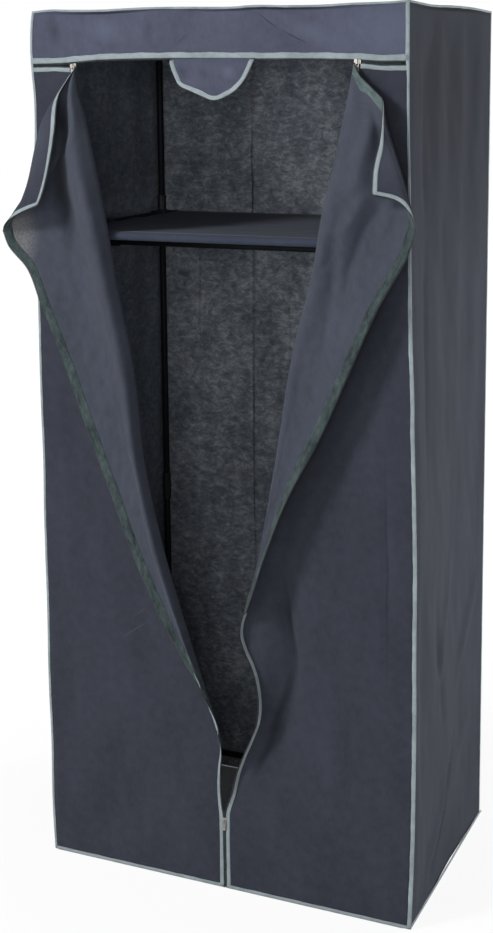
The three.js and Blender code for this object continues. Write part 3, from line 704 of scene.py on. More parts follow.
# How far the cover's front corners stand out from straight, by height
rightBulge = [(3, 14), (115, 18), (190, 19.5), (264, 20), (395, 20.5), (500, 19.5), (655, 19.5),
              (764, 17), (833, 15), (901, 13), (950, 12.5), (1036, 9), (1150, 6), (1317, 3), (1400, 1),
              (1510, 0), (1600, 0)]
leftBulge = [(3, 5), (90, 8), (230, 6.5), (340, 8.5), (500, 7), (670, 7.5), (790, 5.5), (850, 6.5), (960, 7),
             (1080, 6), (1330, 5.5), (1400, 1.5), (1460, 1.5), (1490, 4), (1535, 6), (1580, 3.5), (1600, 0)]


def bulgeAt(side, heights):
    return curveAt(leftBulge if side < 0 else rightBulge, np.atleast_1d(heights))


# The header's foot isn't level: how far it stands above its packed height, by place across
footRise = [(-355, 1.5), (-291, 2.5), (-262, 4.5), (-233, 6.5), (14, 6.5), (67, 5), (144, 4), (219, 2.4),
            (268, 0.5), (300, -2), (355, -2.5)]
# The same for the closed ends of the doors' top edges, reached this far beyond the slider
stripRise = {-1: 1.5, 1: -4.0}
stripEasing = 40.0


def stripRiseAt(door, x):
    outside = door["side"] * (np.asarray(x, float) - door["zipEnd"])
    return stripRise[door["side"]] * ease(outside, 0, stripEasing)


# How far the top seam stands above its packed height: by x in front and behind, by y at the sides
topRise = {"front": [(-355, 5), (-320, 7.5), (-280, 6), (-220, 4.5), (-160, 5.5), (-120, 6), (-40, 4.5),
                     (0, 3.2), (40, 2.4), (80, 4), (140, 2), (200, 1), (260, 2.5), (320, 2.8), (355, 4.5)],
           "rear": [(-355, 2), (0, 1), (355, 3)],
           "left": [(-235, 5), (0, 2), (235, 2)],
           "right": [(-235, 4.5), (-170, 2.5), (-110, 1.5), (0, 4.5), (120, 5.5), (235, 3)]}
topRiseBand = 60.0  # the seam's rise is gone this far below it


def topRiseAt(x, y):
    # The four seams' heights spread over the top between them
    x, y = np.broadcast_arrays(np.asarray(x, float), np.asarray(y, float))
    read = {label: curveAt(topRise[label], along)
            for label, along in (("front", x), ("rear", x), ("left", y), ("right", y))}
    u = np.clip((x + halfWidth) / (2 * halfWidth), 0, 1)
    v = np.clip((y + halfDepth) / (2 * halfDepth), 0, 1)
    corners = [topRise[label][end][1] for label in ("front", "rear") for end in (0, -1)]
    flat = ((1 - v) * ((1 - u) * corners[0] + u * corners[1]) + v * ((1 - u) * corners[2] + u * corners[3]))
    return (1 - v) * read["front"] + v * read["rear"] + (1 - u) * read["left"] + u * read["right"] - flat


def lifted(points):
    # Points near the cover's top follow its seam
    points = np.array(points, float)
    rise = topRiseAt(points[..., 0], points[..., 1])
    points[..., 2] += rise * ease(points[..., 2], coverTop - topRiseBand, coverTop)
    return points


# Each door is one cloth. A thread of it starts at the side seam, lies flat up to the fold,
# rolls forward there and runs back outwards; the corner turns over as a lapel.
# fold: hinge height, across, forward. The lines from startTop to tipToFoot: across, up,
# forward. Widths: share along the edge, share of the section. forward: height, then how far
# the flap stands forward at its three inner stations. Creases: line, width, height.
leftDoor = {
    "side": -1, "name": "left", "zipEnd": -278, "tipHeight": 1395, "footHeight": 305,
    "blendTilt": -0.003, "blendStart": 5.0, "blendLength": 6.0,
    "outside": leftDoorOutside, "inside": tipInsidePaintedLightAndShade, "topTape": zipTapeFinish,
    "fold": [(1505, -268, 3), (1490, -266.5, 8), (1465, -260, 12), (1428, -248, 12), (1340, -229, 12),
             (1251, -211, 12), (1141, -192, 12), (969, -158, 12), (791, -139, 12), (634, -103, 12),
             (513, -66, 12), (415, -34, 12), (330, -6, 11), (305, 1, 8.5), (270, 5, 5), (230, 1, 3.5),
             (190, 0, 2.5), (160, 2, 2), (140, 4.5, 0.5), (120, 4.5, 0), (3, 4.5, 0)],
    "startTop": [(-268, 1504, 3), (-268.5, 1503.6, 3.4), (-269, 1503, 4)],
    "lapelFold": [(-269, 1503, 4), (-304, 1449, 18), (-319, 1396, 24), (-329, 1343, 29), (-341, 1296, 33),
                  (-380, 1247, 37), (-406, 1215, 38)],
    "topEdge": [(-269, 1503, 4), (-278, 1483, 16), (-290, 1455, 28), (-291, 1425, 37), (-290, 1400, 43),
                (-299, 1332, 53), (-311, 1281, 60), (-318, 1265, 62)],
    "cornerToTip": [(-318, 1265, 62), (-356, 1251, 57), (-395, 1230, 47), (-406, 1215, 38)],
    "tipToFoot": [(-406, 1215, 38), (-401, 1188, 30), (-366, 1146, 24), (-340, 1084, 24), (-292, 970, 24),
                  (-247, 853, 25), (-200, 737, 26), (-154, 620, 26), (-100, 508, 25), (-35, 401, 22),
                  (1, 325, 15), (2, 304, 10)],
    "topWidths": [(0, 0.25), (0.1, 0.4), (0.17, 0.9), (0.45, 0.95), (0.75, 0.6), (1, 0.65)],
    "centreWidths": [(0, 0.7), (0.05, 0.85), (0.085, 0.5), (0.13, 1), (1, 1)],
    "tapeWidths": {"top": [(0, 0.3), (0.1, 1), (1, 1)], "centre": [(0, 1), (1, 1)]},
    "forward": [(1505, (3, 4, 4)), (1478, (19, 12, 14)), (1450, (28, 14, 15)), (1395, (34, 14, 15)),
                (1349, (36, 14, 15)), (1278, (36, 14, 15)), (1185, (33, 15, 16)), (1009, (31, 20, 19)),
                (833, (31, 25, 22)), (657, (30, 27, 23)), (481, (26, 25, 21)), (380, (18, 18, 18)),
                (305, (10, 10, 10))],
    "flapCreases": [([(-222, 1168), (-198, 1172), (-172, 1164)], 5, -3.0),
                    ([(-236, 1010), (-205, 940)], 14, 2.5),
                    ([(-190, 860), (-150, 760), (-120, 660)], 12, 3.0)],
    "doorCreases": [([(-70, 700), (-40, 520), (-28, 400), (0, 300)], 26, -3.0),
                    ([(-330, 420), (-200, 300)], 30, 2.0),
                    ([(-330, 980), (-300, 700), (-310, 480)], 22, 2.2)],
}
rightDoor = {
    "side": 1, "name": "right", "zipEnd": 272, "tipHeight": 1410, "footHeight": 540,
    "blendTilt": 0.008, "blendStart": 9.0, "blendLength": 12.0,
    "outside": rightDoorOutside, "inside": doorInsidePaintedLight, "topTape": litTapeFinish,
    "fold": [(1505, 260.5, 3), (1490, 260, 8), (1455, 255, 12), (1401, 243, 12), (1317, 223, 12),
             (1244, 205, 12), (1157, 190, 12), (1007, 151, 12), (847, 131, 12), (693, 100, 12),
             (610, 78, 12), (560, 62, 12), (540, 57, 12), (520, 51, 12), (497, 49, 11), (470, 57, 10),
             (446, 69, 10), (419, 78, 10), (372, 84, 10), (337, 80, 10), (306, 68, 9), (267, 51, 8),
             (232, 38, 7), (189, 26, 4), (150, 12.5, 1), (125, 11.5, 0), (3, 11.5, 0)],
    "startTop": [(260.5, 1504, 3), (264, 1501, 8), (273.7, 1488, 16), (289.5, 1474, 24), (306.2, 1461, 29),
                 (321.6, 1447, 31.5)],
    "lapelFold": [(321.6, 1447, 31.5), (326.8, 1413, 30), (341.6, 1367, 31.5), (355.3, 1328, 33.8),
                  (368, 1291, 36), (380.7, 1242, 37.5)],
    "topEdge": [(321.6, 1447, 31.5), (324.5, 1428, 39), (323.7, 1384, 45), (315, 1337, 49.5),
                (313, 1297, 51)],
    "cornerToTip": [(313, 1297, 51), (355.4, 1286, 47.3), (376, 1263, 42), (380.7, 1242, 37.5)],
    "tipToFoot": [(380.7, 1242, 37.5), (366.3, 1198, 37), (342.2, 1155, 39), (319, 1113, 43), (269, 1000, 48),
                  (218, 887, 50), (160, 777, 50), (111, 660, 44), (72, 565, 24), (57, 540, 12)],
    "flapCreases": [([(322, 1281), (296, 1247), (275, 1204), (262, 1160), (250, 1110)], 9, 6.0),
                    ([(334, 1280), (322, 1240), (305, 1200)], 10, -4.0),
                    ([(300, 1302), (276, 1268), (258, 1236), (246, 1200)], 10, -5.5),
                    ([(252, 1290), (238, 1230), (233, 1203), (236, 1150), (222, 1060), (205, 1000)], 11, 5.0),
                    ([(309, 1468), (305, 1430), (297, 1395), (289, 1362), (279, 1325), (272, 1290)], 15,
                     -13.0),
                    ([(210, 1158), (228, 1185)], 6, 3.0),
                    ([(170, 1010), (150, 900), (110, 770)], 14, -4.0)],
    "doorCreases": [([(116, 660), (121, 590), (130, 514), (141, 464), (140, 410), (132, 350), (101, 297),
                      (64, 229)], 12, -12.0),
                    ([(124, 720), (130, 470), (108, 280), (78, 215)], 30, -17.0),
                    ([(160, 720), (168, 470), (146, 270), (120, 200)], 62, -8.0),
                    ([(317, 879), (324, 599), (321, 419)], 7, -3.5), ([(250, 300), (300, 180)], 30, 2.5)],
    "topWidths": [(0, 0.8), (0.3, 0.9), (0.42, 0.75), (0.7, 0.95), (1, 0.95)],
    "centreWidths": [(0, 0.8), (0.04, 0.8), (0.08, 0.5), (0.13, 1), (1, 1)],
    "tapeWidths": {"top": [(0, 0.7), (0.1, 1), (1, 1)], "centre": [(0, 1), (1, 1)]},
    "forward": [(1505, (8, 16, 24)), (1478, (16, 20, 22)), (1450, (23, 25, 22)), (1395, (27, 29, 21)),
                (1349, (29, 31, 21)), (1278, (30, 30, 25)), (1185, (32, 31, 31)), (1009, (34, 37, 39)),
                (833, (34, 40, 42)), (700, (30, 34, 36)), (600, (20, 24, 24)), (540, (12, 12, 12))],
}
bend = {"lapelRadius": 1.3, "flatColumns": 44, "rollColumns": 7, "flapColumns": 42, "arcColumns": 5,
        "lapelColumns": 20, "lapelRows": 34, "rowStep": 6.0, "columnBias": 0.9, "seamInset": 0.3,
        "rollShare": 0.85, "rollMost": 10.5, "rollLeast": 0.05, "rollHigh": (1450, 1490), "rollCut": 0.8,
        "stations": (0, 0.13, 0.36, 0.64, 1), "places": (0.11, 0.36, 0.64), "middleLift": 4.0,
        "liftHold": ((0, 0.1), (0.8, 1)), "topBand": 0.14, "crown": 2.5, "lapelFade": 1.2,
        "radiusHold": ((0, 0.08), (0.93, 1)), "leastArrival": 0.3, "cornerRows": 4,
        "cornerWay": (0.8, -0.6)}
flatCalm = {"seam": (0.0, 0.16), "fold": (0.78, 0.98), "top": (0, 0.04), "hemBand": 90, "topBand": 45}
flatLayers = [(2.0, 11, 210, 2.6), (0.7, 31, 60, 2.0)]
flapLayers = [(1.9, 51, 150, 2.2), (0.6, 71, 45, 1.6)]
flapHold = {"across": ((0, 0.2), (0.86, 1)), "down": ((0.02, 0.12), (0.85, 1))}
rounding = 1e-6


def zipAcross(door):
    return zipMiddle + door["side"] * zipHalfGap


def flatPart(door, heights, fold, foldLine):
    # From the side seam to the fold, with the cloth's roll there
    side = door["side"]
    edge = side * (halfWidth - bend["seamInset"] + bulgeAt(side, heights))
    narrowed = 1 - bend["rollCut"] * ease(heights, *bend["rollHigh"])
    roll = np.minimum(fold[:, 1] * bend["rollShare"], bend["rollMost"]) * narrowed + bend["rollLeast"]
    columns = []
    for share in np.linspace(0, 1, bend["flatColumns"]) ** bend["columnBias"]:
        x = edge + (fold[:, 0] + side * roll - edge) * share
        columns.append(np.stack([x, np.full_like(x, frontY), heights], -1))
    for k in range(1, bend["rollColumns"] + 1):
        turn = k / bend["rollColumns"] * math.pi / 2
        x = fold[:, 0] + side * roll * (1 - math.sin(turn))
        columns.append(np.stack([x, frontY - np.maximum(fold[:, 1], 0) * (1 - math.cos(turn)), heights], -1))
    grid = np.stack(columns, 1)
    grid[:, -1] = foldLine
    up = heights[:, None]
    down = (doorHead - up) / (doorHead - hemHeight)
    across = np.linspace(0, 1, grid.shape[1])[None, :]
    calm = held(across, flatCalm["seam"], flatCalm["fold"]) * ease(down, *flatCalm["top"])
    calm = calm * ease(up, hemHeight, hemHeight + flatCalm["hemBand"])
    waves = softWaves(grid[:, :, 0], up, flatLayers, side) + creases(grid[:, :, 0], up, door["doorCreases"])
    grid[:, :, 1] -= calm * waves
    grid[:, :, 2] += stripRiseAt(door, grid[:, :, 0]) * ease(up, doorHead - flatCalm["topBand"], doorHead)
    return grid, np.stack([grid[:, :, 0], np.repeat(up, grid.shape[1], 1)], -1)


def freePart(door, rows, hinge, hingeAcross, share, below, isTop):
    # From the fold to the lapel's fold, or lower down to the free edge
    lapel = evenAlong(onFront(door["lapelFold"]), share)
    outer = np.where(isTop[:, None], lapel, evenAlong(onFront(door["tipToFoot"]), below))
    table = np.array([(height, *values) for height, values in door["forward"]][::-1], float)
    forward = smoothAt(table[:, 0], table[:, 1:], rows)
    lines = []
    for column, place in enumerate(bend["places"]):
        line = hinge + (outer - hinge) * place
        line[:, 1] = frontY - forward[:, column]
        lines.append(line)
    lines[1][:, 2] += bend["middleLift"] * held(below, *bend["liftHold"])
    startLine = evenAlong(onFront(door["startTop"]), bend["stations"][1:4])
    towardTop = (1 - ease(share, 0, bend["topBand"]))[:, None]
    for line, shape in zip(lines, startLine):
        line += (shape - line[0]) * towardTop
    control = np.stack([hinge] + lines + [outer])
    shares = np.linspace(0, 1, bend["flapColumns"])
    grid = np.stack([smoothAt(bend["stations"], control[:, i], shares) for i in range(len(rows))])
    lastAcross = np.where(isTop, door["zipEnd"] + (zipAcross(door) - door["zipEnd"]) * share, zipAcross(door))
    flat = np.stack([hingeAcross[:, None] + (lastAcross - hingeAcross)[:, None] * shares[None, :],
                     np.repeat(rows[:, None], len(shares), 1)], -1)
    return grid, flat


def lapelPart(door, rows, freeGrid, lastAcross):
    # Round the lapel's fold, then back to the free edge
    t = (doorHead - rows) / (doorHead - door["tipHeight"])
    radius = bend["lapelRadius"] * held(t, *bend["radiusHold"])
    line = freeGrid[:len(rows), -1]
    along = np.gradient(line, axis=0)
    along /= np.linalg.norm(along, axis=1, keepdims=True)
    arrive = line - freeGrid[:len(rows), -2]
    arrive -= along * np.sum(arrive * along, 1, keepdims=True)
    size = np.linalg.norm(arrive, axis=1, keepdims=True)
    outwards = np.array([door["side"] * bend["cornerWay"][0], 0, bend["cornerWay"][1]])
    onward = np.where(size > rounding, arrive / np.maximum(size, rounding), outwards)
    clear = size[:, 0] >= bend["leastArrival"]
    onward[~clear] = onward[np.argmax(clear)]
    forward = np.cross(along, onward)
    forward *= np.sign(-forward[:, 1:2])
    topLine = evenAlong(onFront(door["topEdge"]), np.linspace(0, 1, bend["lapelColumns"]))
    endLine = evenAlong(onFront(door["cornerToTip"]), t)
    s = np.linspace(0, 1, bend["lapelColumns"])[:, None]
    topChord = topLine[0] + (topLine[-1] - topLine[0]) * s
    grid = []
    for i in range(len(rows)):
        rounds = []
        for k in range(1, bend["arcColumns"] + 1):
            turn = math.pi * k / bend["arcColumns"]
            arc = onward[i] * math.sin(turn) + forward[i] * (1 - math.cos(turn))
            rounds.append(line[i] + radius[i] * arc)
        chord = rounds[-1] + (endLine[i] - rounds[-1]) * s
        crown = bend["crown"] * np.sin(math.pi * s) * math.sin(math.pi * t[i]) * np.array([0, -1.0, 0])
        lapelRow = chord + (topLine - topChord) * (1 - t[i]) ** bend["lapelFade"] + crown
        grid.append(np.concatenate([[line[i]], rounds, lapelRow[1:]]))
    grid = np.stack(grid)
    shares = np.linspace(0, 1, grid.shape[1])[None, :]
    flat = np.stack([lastAcross[:, None] + (zipAcross(door) - lastAcross)[:, None] * shares,
                     np.repeat(rows[:, None], grid.shape[1], 1)], -1)
    return grid, flat


def doorGrids(door):
    # The door's three patches as grids, each with its flat places: across and up
    tip, foot = door["tipHeight"], door["footHeight"]
    topRows = np.linspace(doorHead, tip, bend["lapelRows"])
    foldRows = np.linspace(tip, foot, int((tip - foot) / bend["rowStep"]) + 1)
    lowRows = np.linspace(foot, hemHeight, int((foot - hemHeight) / bend["rowStep"]) + 1)
    heights = np.concatenate([topRows, foldRows[1:], lowRows[1:]])
    table = np.array(door["fold"][::-1], float)
    fold = smoothAt(table[:, 0], table[:, 1:], heights)
    foldLine = onFront(np.stack([fold[:, 0], heights, np.maximum(fold[:, 1], 0)], -1))
    free = heights >= foot - rounding
    rows = heights[free]
    isTop = rows >= tip - rounding
    share = np.clip((doorHead - rows) / (doorHead - tip), 0, 1)
    below = np.clip((tip - rows) / (tip - foot), 0, 1)
    flat = flatPart(door, heights, fold, foldLine)
    hanging = freePart(door, rows, foldLine[free], fold[free, 0], share, below, isTop)
    lapel = lapelPart(door, rows[isTop], hanging[0], hanging[1][isTop, -1, 0])
    return {"flat": flat, "free": hanging, "lapel": lapel, "count": int(isTop.sum())}


def wrinkleFree(grids, door):
    # Soft ridges on the hanging part, held down at its borders
    grid, flat = grids["free"]
    rows = np.linspace(0, 1, grid.shape[0])[:, None]
    across = np.linspace(0, 1, grid.shape[1])[None, :]
    hold = held(across, *flapHold["across"]) * held(rows, *flapHold["down"])
    waves = softWaves(flat[..., 0], flat[..., 1], flapLayers, door["side"])
    waves += creases(grid[..., 0], grid[..., 2], door["flapCreases"])
    grid += normalsOf(grid, -door["side"]) * (hold * waves)[..., None]


def edgeThreads(grids, door):
    # From each place of the free edges a thread runs into the cloth: its points and its outer face
    side = door["side"]
    flatGrid, freeGrid, lapelGrid = grids["flat"][0], grids["free"][0], grids["lapel"][0]
    faceFlat, faceFree, faceLapel = (normalsOf(g, -side) for g in (flatGrid, freeGrid, lapelGrid))
    count, low = grids["count"], len(freeGrid)
    topEnd = count + bend["cornerRows"]
    centre = []
    for i in range(len(flatGrid)):
        points, faces = [flatGrid[i, ::-1]], [faceFlat[i, ::-1]]
        if i < low:
            points.insert(0, freeGrid[i, :0:-1])
            faces.insert(0, faceFree[i, :0:-1])
        if i < count - 1:
            points.insert(0, lapelGrid[i, :0:-1])
            faces.insert(0, faceLapel[i, :0:-1])
        centre.append((np.concatenate(points), np.concatenate(faces)))
    top = [(freeGrid[:topEnd, j], faceFree[:topEnd, j]) for j in range(1, freeGrid.shape[1])]
    top += [(lapelGrid[:, j], faceLapel[:, j]) for j in range(1, lapelGrid.shape[1])]
    return tidyThreads(centre), tidyThreads(top)


threadShape = {"reach": 18.0, "tabReach": 14.0, "points": 13, "leastStep": 1.0, "aim": 6.0, "leastSlant": 0.4,
               "keep": 0.96, "slantRounds": 6, "faceRounds": 4}


def tidyThreads(threads, reach=threadShape["reach"]):
    # Each thread read at even steps from the edge, then evened out along the edge
    kept = [threads[0]]
    for thread in threads[1:]:
        if np.linalg.norm(thread[0][0] - kept[-1][0][0]) > threadShape["leastStep"]:
            kept.append(thread)
    along = unit(np.gradient(np.array([points[0] for points, normals in kept]), axis=0))
    runs = [lengthAlong(points) for points, normals in kept]
    slants = []
    for (points, normals), run, way in zip(kept, runs, along):
        aim = np.searchsorted(run, threadShape["aim"]).clip(1, len(points) - 1)
        into = unit(points[aim] - points[0])
        slants.append(max(np.linalg.norm(np.cross(way, into)), threadShape["leastSlant"]))
    slants = np.array(slants)
    for _ in range(threadShape["slantRounds"]):
        slants[1:-1] = (slants[:-2] + slants[1:-1] * 2 + slants[2:]) / 4
    lines, faces, rooms = [], [], []
    for (points, normals), run, slant in zip(kept, runs, slants):
        room = min(reach, run[-1] * threadShape["keep"] * slant)
        at = np.linspace(0, room / slant, threadShape["points"])
        lines.append(np.stack([np.interp(at, run, points[:, k]) for k in range(3)], -1))
        faces.append(np.stack([np.interp(at, run, normals[:, k]) for k in range(3)], -1))
        rooms.append(room)
    faces = np.array(faces)
    for _ in range(threadShape["faceRounds"]):
        faces[1:-1] = (faces[:-2] + faces[1:-1] * 2 + faces[2:]) / 4
        faces[:, 0] = faces[:, 1]
    return {"lines": np.array(lines), "faces": unit(faces), "rooms": np.array(rooms)}


def onThreads(threads, into, off, widths=((0, 1), (1, 1))):
    # The line that runs at one distance into the cloth, off its outer face, with the face's way
    spots, ways = [], []
    table = np.array(widths, float)
    run = lengthAlong(threads["lines"][:, 0])
    scales = np.interp(run / run[-1], table[:, 0], table[:, 1])
    for line, face, room, scale in zip(threads["lines"], threads["faces"], threads["rooms"], scales):
        share = np.clip(into * (scale if into > sewing["edgeBand"] else 1) / room, 0, 1) * (len(line) - 1)
        k = min(int(share), len(line) - 2)
        spot = line[k] + (line[k + 1] - line[k]) * (share - k)
        way = unit(face[k] + (face[k + 1] - face[k]) * (share - k))
        if into < 0:
            spot = spot + unit(line[3] - line[0]) * into
        spots.append(spot + way * off)
        ways.append(way)
    return np.array(spots), np.array(ways)


def ribbon(name, threads, section, material, widths):
    # A closed section laid on the threads: each pair is how far into the cloth and off its outer face
    rails = [onThreads(threads, into, off, widths)[0] for into, off in section]
    return tube(name, np.stack(rails, 1), section, material)


# Each pair is how far in from the edge and how far off the outer face
bindingSection = [(0.0, -0.1), (-0.25, 0.3), (0.0, 0.8), (0.8, 1.05), (4.0, 1.15), (6.4, 1.05), (7.1, 0.8),
                  (7.3, 0.25)]
tapeSection = [(-2.4, 0.2), (-2.6, -0.2), (0.2, -0.75), (4, -0.85), (8, -0.85), (12, -0.85), (15.0, -0.8),
               (15.4, -0.35), (12, -0.3), (8, -0.3), (4, -0.3), (0.2, -0.3)]
teethOut = 3.0
seamAt = {"into": 5.9, "off": 1.15, "tapeInto": 6.4, "tapeOff": -0.85, "headerInto": 7.4, "headerOff": 1.65,
          "closedOff": 1.1}


def blendDoor(piece):
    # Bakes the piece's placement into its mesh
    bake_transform(piece)


for door in (leftDoor, rightDoor):
    name = door["name"]
    grids = doorGrids(door)
    wrinkleFree(grids, door)
    cloth = clothPiece(name + "_door_cloth", [grids["flat"], grids["free"], grids["lapel"]],
                       [door["outside"], door["inside"]], sense=-door["side"])
    made = [cloth]
    teeth, seams, innerSeams = [], [], []
    tapes = {"centre": zipTapeFinish, "top": door["topTape"]}
    for label, threads in zip(("centre", "top"), edgeThreads(grids, door)):
        widths, tapeWidths = door[label + "Widths"], door["tapeWidths"][label]
        made.append(ribbon(f"{name}_{label}_binding", threads, bindingSection, bindingFinish, widths))
        made.append(ribbon(f"{name}_{label}_tape", threads, tapeSection, tapes[label], tapeWidths))
        teeth.append(onThreads(threads, -teethOut, 0.0))
        seams.append(onThreads(threads, seamAt["into"], seamAt["off"], widths))
        line, way = onThreads(threads, seamAt["tapeInto"], seamAt["tapeOff"], tapeWidths)
        innerSeams.append((line, -way))
    made.append(beadRow(f"{name}_door_teeth", teeth, teethSize, teethFinish))
    made.append(beadRow(f"{name}_door_stitches", seams, stitchSize, threadFinish))
    made.append(beadRow(f"{name}_tape_stitches", innerSeams, stitchSize, darkThread))
    for piece in made:
        blendDoor(piece)
    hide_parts(name + "_door", name + "_flap")
print("stage: doors made")


wallShape = {"below": 1.5, "rows": 150}
wallRows = np.linspace(coverTop - wallShape["below"], hemHeight, wallShape["rows"])
frameWords = ("_connector_", "_tube_", "_post_", "coupler", "rail_holder")
wallRoom = {"most": 9.0, "near": 8, "beside": 14, "gap": 1.0, "reach": 4}


def toInside(name):
    low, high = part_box(name)
    return (np.array(low) - middle) / mm, (np.array(high) - middle) / mm


def roomBehind(along, heights, axis, reach):
    # How far a wall may sink at each place before it meets the frame
    room = np.full(np.broadcast(along, heights).shape, wallRoom["most"])
    other, beside = 1 - axis, wallRoom["beside"]
    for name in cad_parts:
        if not any(word in name for word in frameWords):
            continue
        low, high = toInside(name)
        depth = reach - high[axis] if reach > 0 else low[axis] - reach
        if depth > wallRoom["near"]:
            continue
        near = ((along > low[other] - beside) & (along < high[other] + beside)
                & (heights > low[2] - beside) & (heights < high[2] + beside))
        room = np.where(near, np.minimum(room, depth - wallRoom["gap"]), room)
    return softened(room)


def softened(field, reach=wallRoom["reach"]):
    # The lowest of each neighbourhood, then evened out as far, so that no wall passes its room
    padded = np.pad(field, 2 * reach, mode="edge")
    low = padded.copy()
    for i in range(-reach, reach + 1):
        for j in range(-reach, reach + 1):
            low = np.minimum(low, np.roll(padded, (i, j), (0, 1)))
    for axis in (0, 1):
        low = sum(np.roll(low, k, axis) for k in range(-reach, reach + 1)) / (2 * reach + 1)
    return low[2 * reach:-2 * reach, 2 * reach:-2 * reach]


sideCreases = [([(190, 255), (40, 170), (-108, 68), (-150, 40)], 20, 6.0),
               ([(60, 260), (10, 170), (-50, 80), (-125, 15)], 9, -8.0),
               ([(215, 544), (120, 400), (60, 330)], 16, 5.0),
               ([(-104, 600), (-60, 420), (-20, 300)], 14, -6.0),
               ([(40, 620), (-30, 480), (-70, 330)], 16, 5.0),
               ([(-150, 1500), (-140, 1100), (-150, 700)], 10, -4.0)]
sideShape = {"columns": 64, "inset": 0.8, "pleats": (2.2, 24, 0.8, 5), "pleatBand": (0.35, 0.8),
             "folds": (2.6, 9, 11, 1.4), "foldBand": (0.3, 0.62), "sink": 3.6, "most": 5.4,
             "groove": (13, 6.5, 2.6), "grooveHold": ((0, 0.03), (0.96, 1)), "bulgeBand": (0.0, 0.75),
             "acrossHold": ((0, 0.12), (0.9, 1)), "upHold": ((0, 0.03), (0.97, 1))}
sideLayers = [(1.4, 90, 130, 3.0), (0.5, 95, 40, 2.0)]


def sideWall(side):
    # Pleats under the shelf, slanting folds below and a groove beside the front seam
    name = "left" if side < 0 else "right"
    heights = wallRows[:, None]
    across = np.linspace(0, 1, sideShape["columns"])[None, :]
    inset = sideShape["inset"]
    y = (-halfDepth + inset) + (2 * halfDepth - 2 * inset) * across + heights * 0
    up = (heights - hemHeight) / (coverTop - hemHeight)
    hold = held(across, *sideShape["acrossHold"]) * held(up, *sideShape["upHold"])
    high, count, sway, turns = sideShape["pleats"]
    pleats = high * np.sin(across * count + sway * np.sin(up * turns)) * ease(up, *sideShape["pleatBand"])
    high, count, turns, start = sideShape["folds"]
    pleats += high * np.sin(across * count + up * turns + start) * (1 - ease(up, *sideShape["foldBand"]))
    pleats += softWaves(y, heights, sideLayers, side)
    if side > 0:
        pleats += creases(y, heights, sideCreases)
    bulge = bulgeAt(side, wallRows)[:, None] * (1 - ease(across, *sideShape["bulgeBand"]))
    sink = sideShape["sink"] - np.clip(pleats, -sideShape["most"], sideShape["sink"])
    place, width, deep = sideShape["groove"]
    groove = deep * grooved(y + halfDepth - place, width) * held(up, *sideShape["grooveHold"])
    room = roomBehind(y, heights, 0, side * halfWidth) - clothHalf + bulge
    x = side * (halfWidth - clothHalf + bulge - np.minimum(hold * np.maximum(sink, 0) + groove,
                                                           np.maximum(room, 0)))
    grid = np.stack([x, y, heights + 0 * across], -1)
    flat = grid[..., 1:]
    piece = clothPiece(name + "_side_cloth", [(lifted(grid), flat)],
                       [coverOutside if side < 0 else rightSideOutside, sideFeltPaintedLight], sense=side)
    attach(piece, "root")
    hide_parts(name + "_side_panel")
    return piece


# The back has one sharp crease, with a shallow hollow beside it, and a faint one further right
backCrease = {"place": -141.0, "width": 2.6, "depth": 4.2, "hollow": (11, 6, 1.6), "faint": (-260, 6, 1.2),
              "columns": 160, "inset": 0.8, "wander": (2.5, 9, 60), "pinches": 4, "pinchBand": 2.5,
              "sink": 2.8, "most": 7, "acrossHold": ((0, 0.06), (0.94, 1)), "upHold": ((0, 0.03), (0.97, 1))}
backLayers = [(1.8, 120, 150, 4.0), (0.7, 121, 45, 3.0)]


def backWall():
    look = backCrease
    heights = wallRows[:, None]
    pinched = look["place"] + np.arange(-look["pinches"], look["pinches"] + 1) * look["width"] / 2
    even = np.linspace(halfWidth - look["inset"], look["inset"] - halfWidth, look["columns"])
    even = even[np.abs(even - look["place"]) > look["width"] * look["pinchBand"]]
    station = np.sort(np.concatenate([even, pinched]))[::-1][None, :]
    across = (station[0, 0] - station) / (station[0, 0] - station[0, -1])
    beside = station - look["place"]
    up = (heights - hemHeight) / (coverTop - hemHeight)
    wander, turns, spread = look["wander"]
    x = station + wander * np.sin(up * turns) * grooved(beside, spread)
    hold = held(across, *look["acrossHold"]) * held(up, *look["upHold"])
    hollowAt, hollowWidth, hollow = look["hollow"]
    faintAt, faintWidth, faint = look["faint"]
    crease = look["depth"] * grooved(beside, look["width"]) - hollow * grooved(beside - hollowAt, hollowWidth)
    crease = crease + faint * grooved(x - faintAt, faintWidth)
    sink = look["sink"] - crease + softWaves(x, heights, backLayers)
    room = roomBehind(x, heights, 1, halfDepth) - clothHalf
    y = halfDepth - clothHalf - np.minimum(hold * np.clip(sink, 0, look["most"]), np.maximum(room, 0))
    grid = np.stack([x, y, heights + 0 * across], -1)
    flat = grid[..., [0, 2]]
    piece = clothPiece("back_cloth", [(lifted(grid), flat)], [mottledOuter, insideFeltPaintedLight])
    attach(piece, "root")
    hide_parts("back_panel")
    return piece


headerCreases = [([(86, 1588), (123, 1563), (147, 1549), (181, 1535)], 3.2, -3.0),
                 ([(92, 1592), (132, 1566), (156, 1552), (192, 1538)], 5, 2.2),
                 ([(-150, 1585), (-120, 1545)], 7, 1.4), ([(250, 1580), (300, 1535)], 6, 1.4)]
headerShape = {"rows": 34, "columns": 230, "below": 1.0, "inset": 0.3, "puff": 1.2, "footBand": (10, 34),
               "topBand": (26, 6), "acrossHold": ((0, 0.05), (0.95, 1))}
headerLayers = [(1.2, 140, 120, 0.9), (0.3, 141, 35, 1.0)]


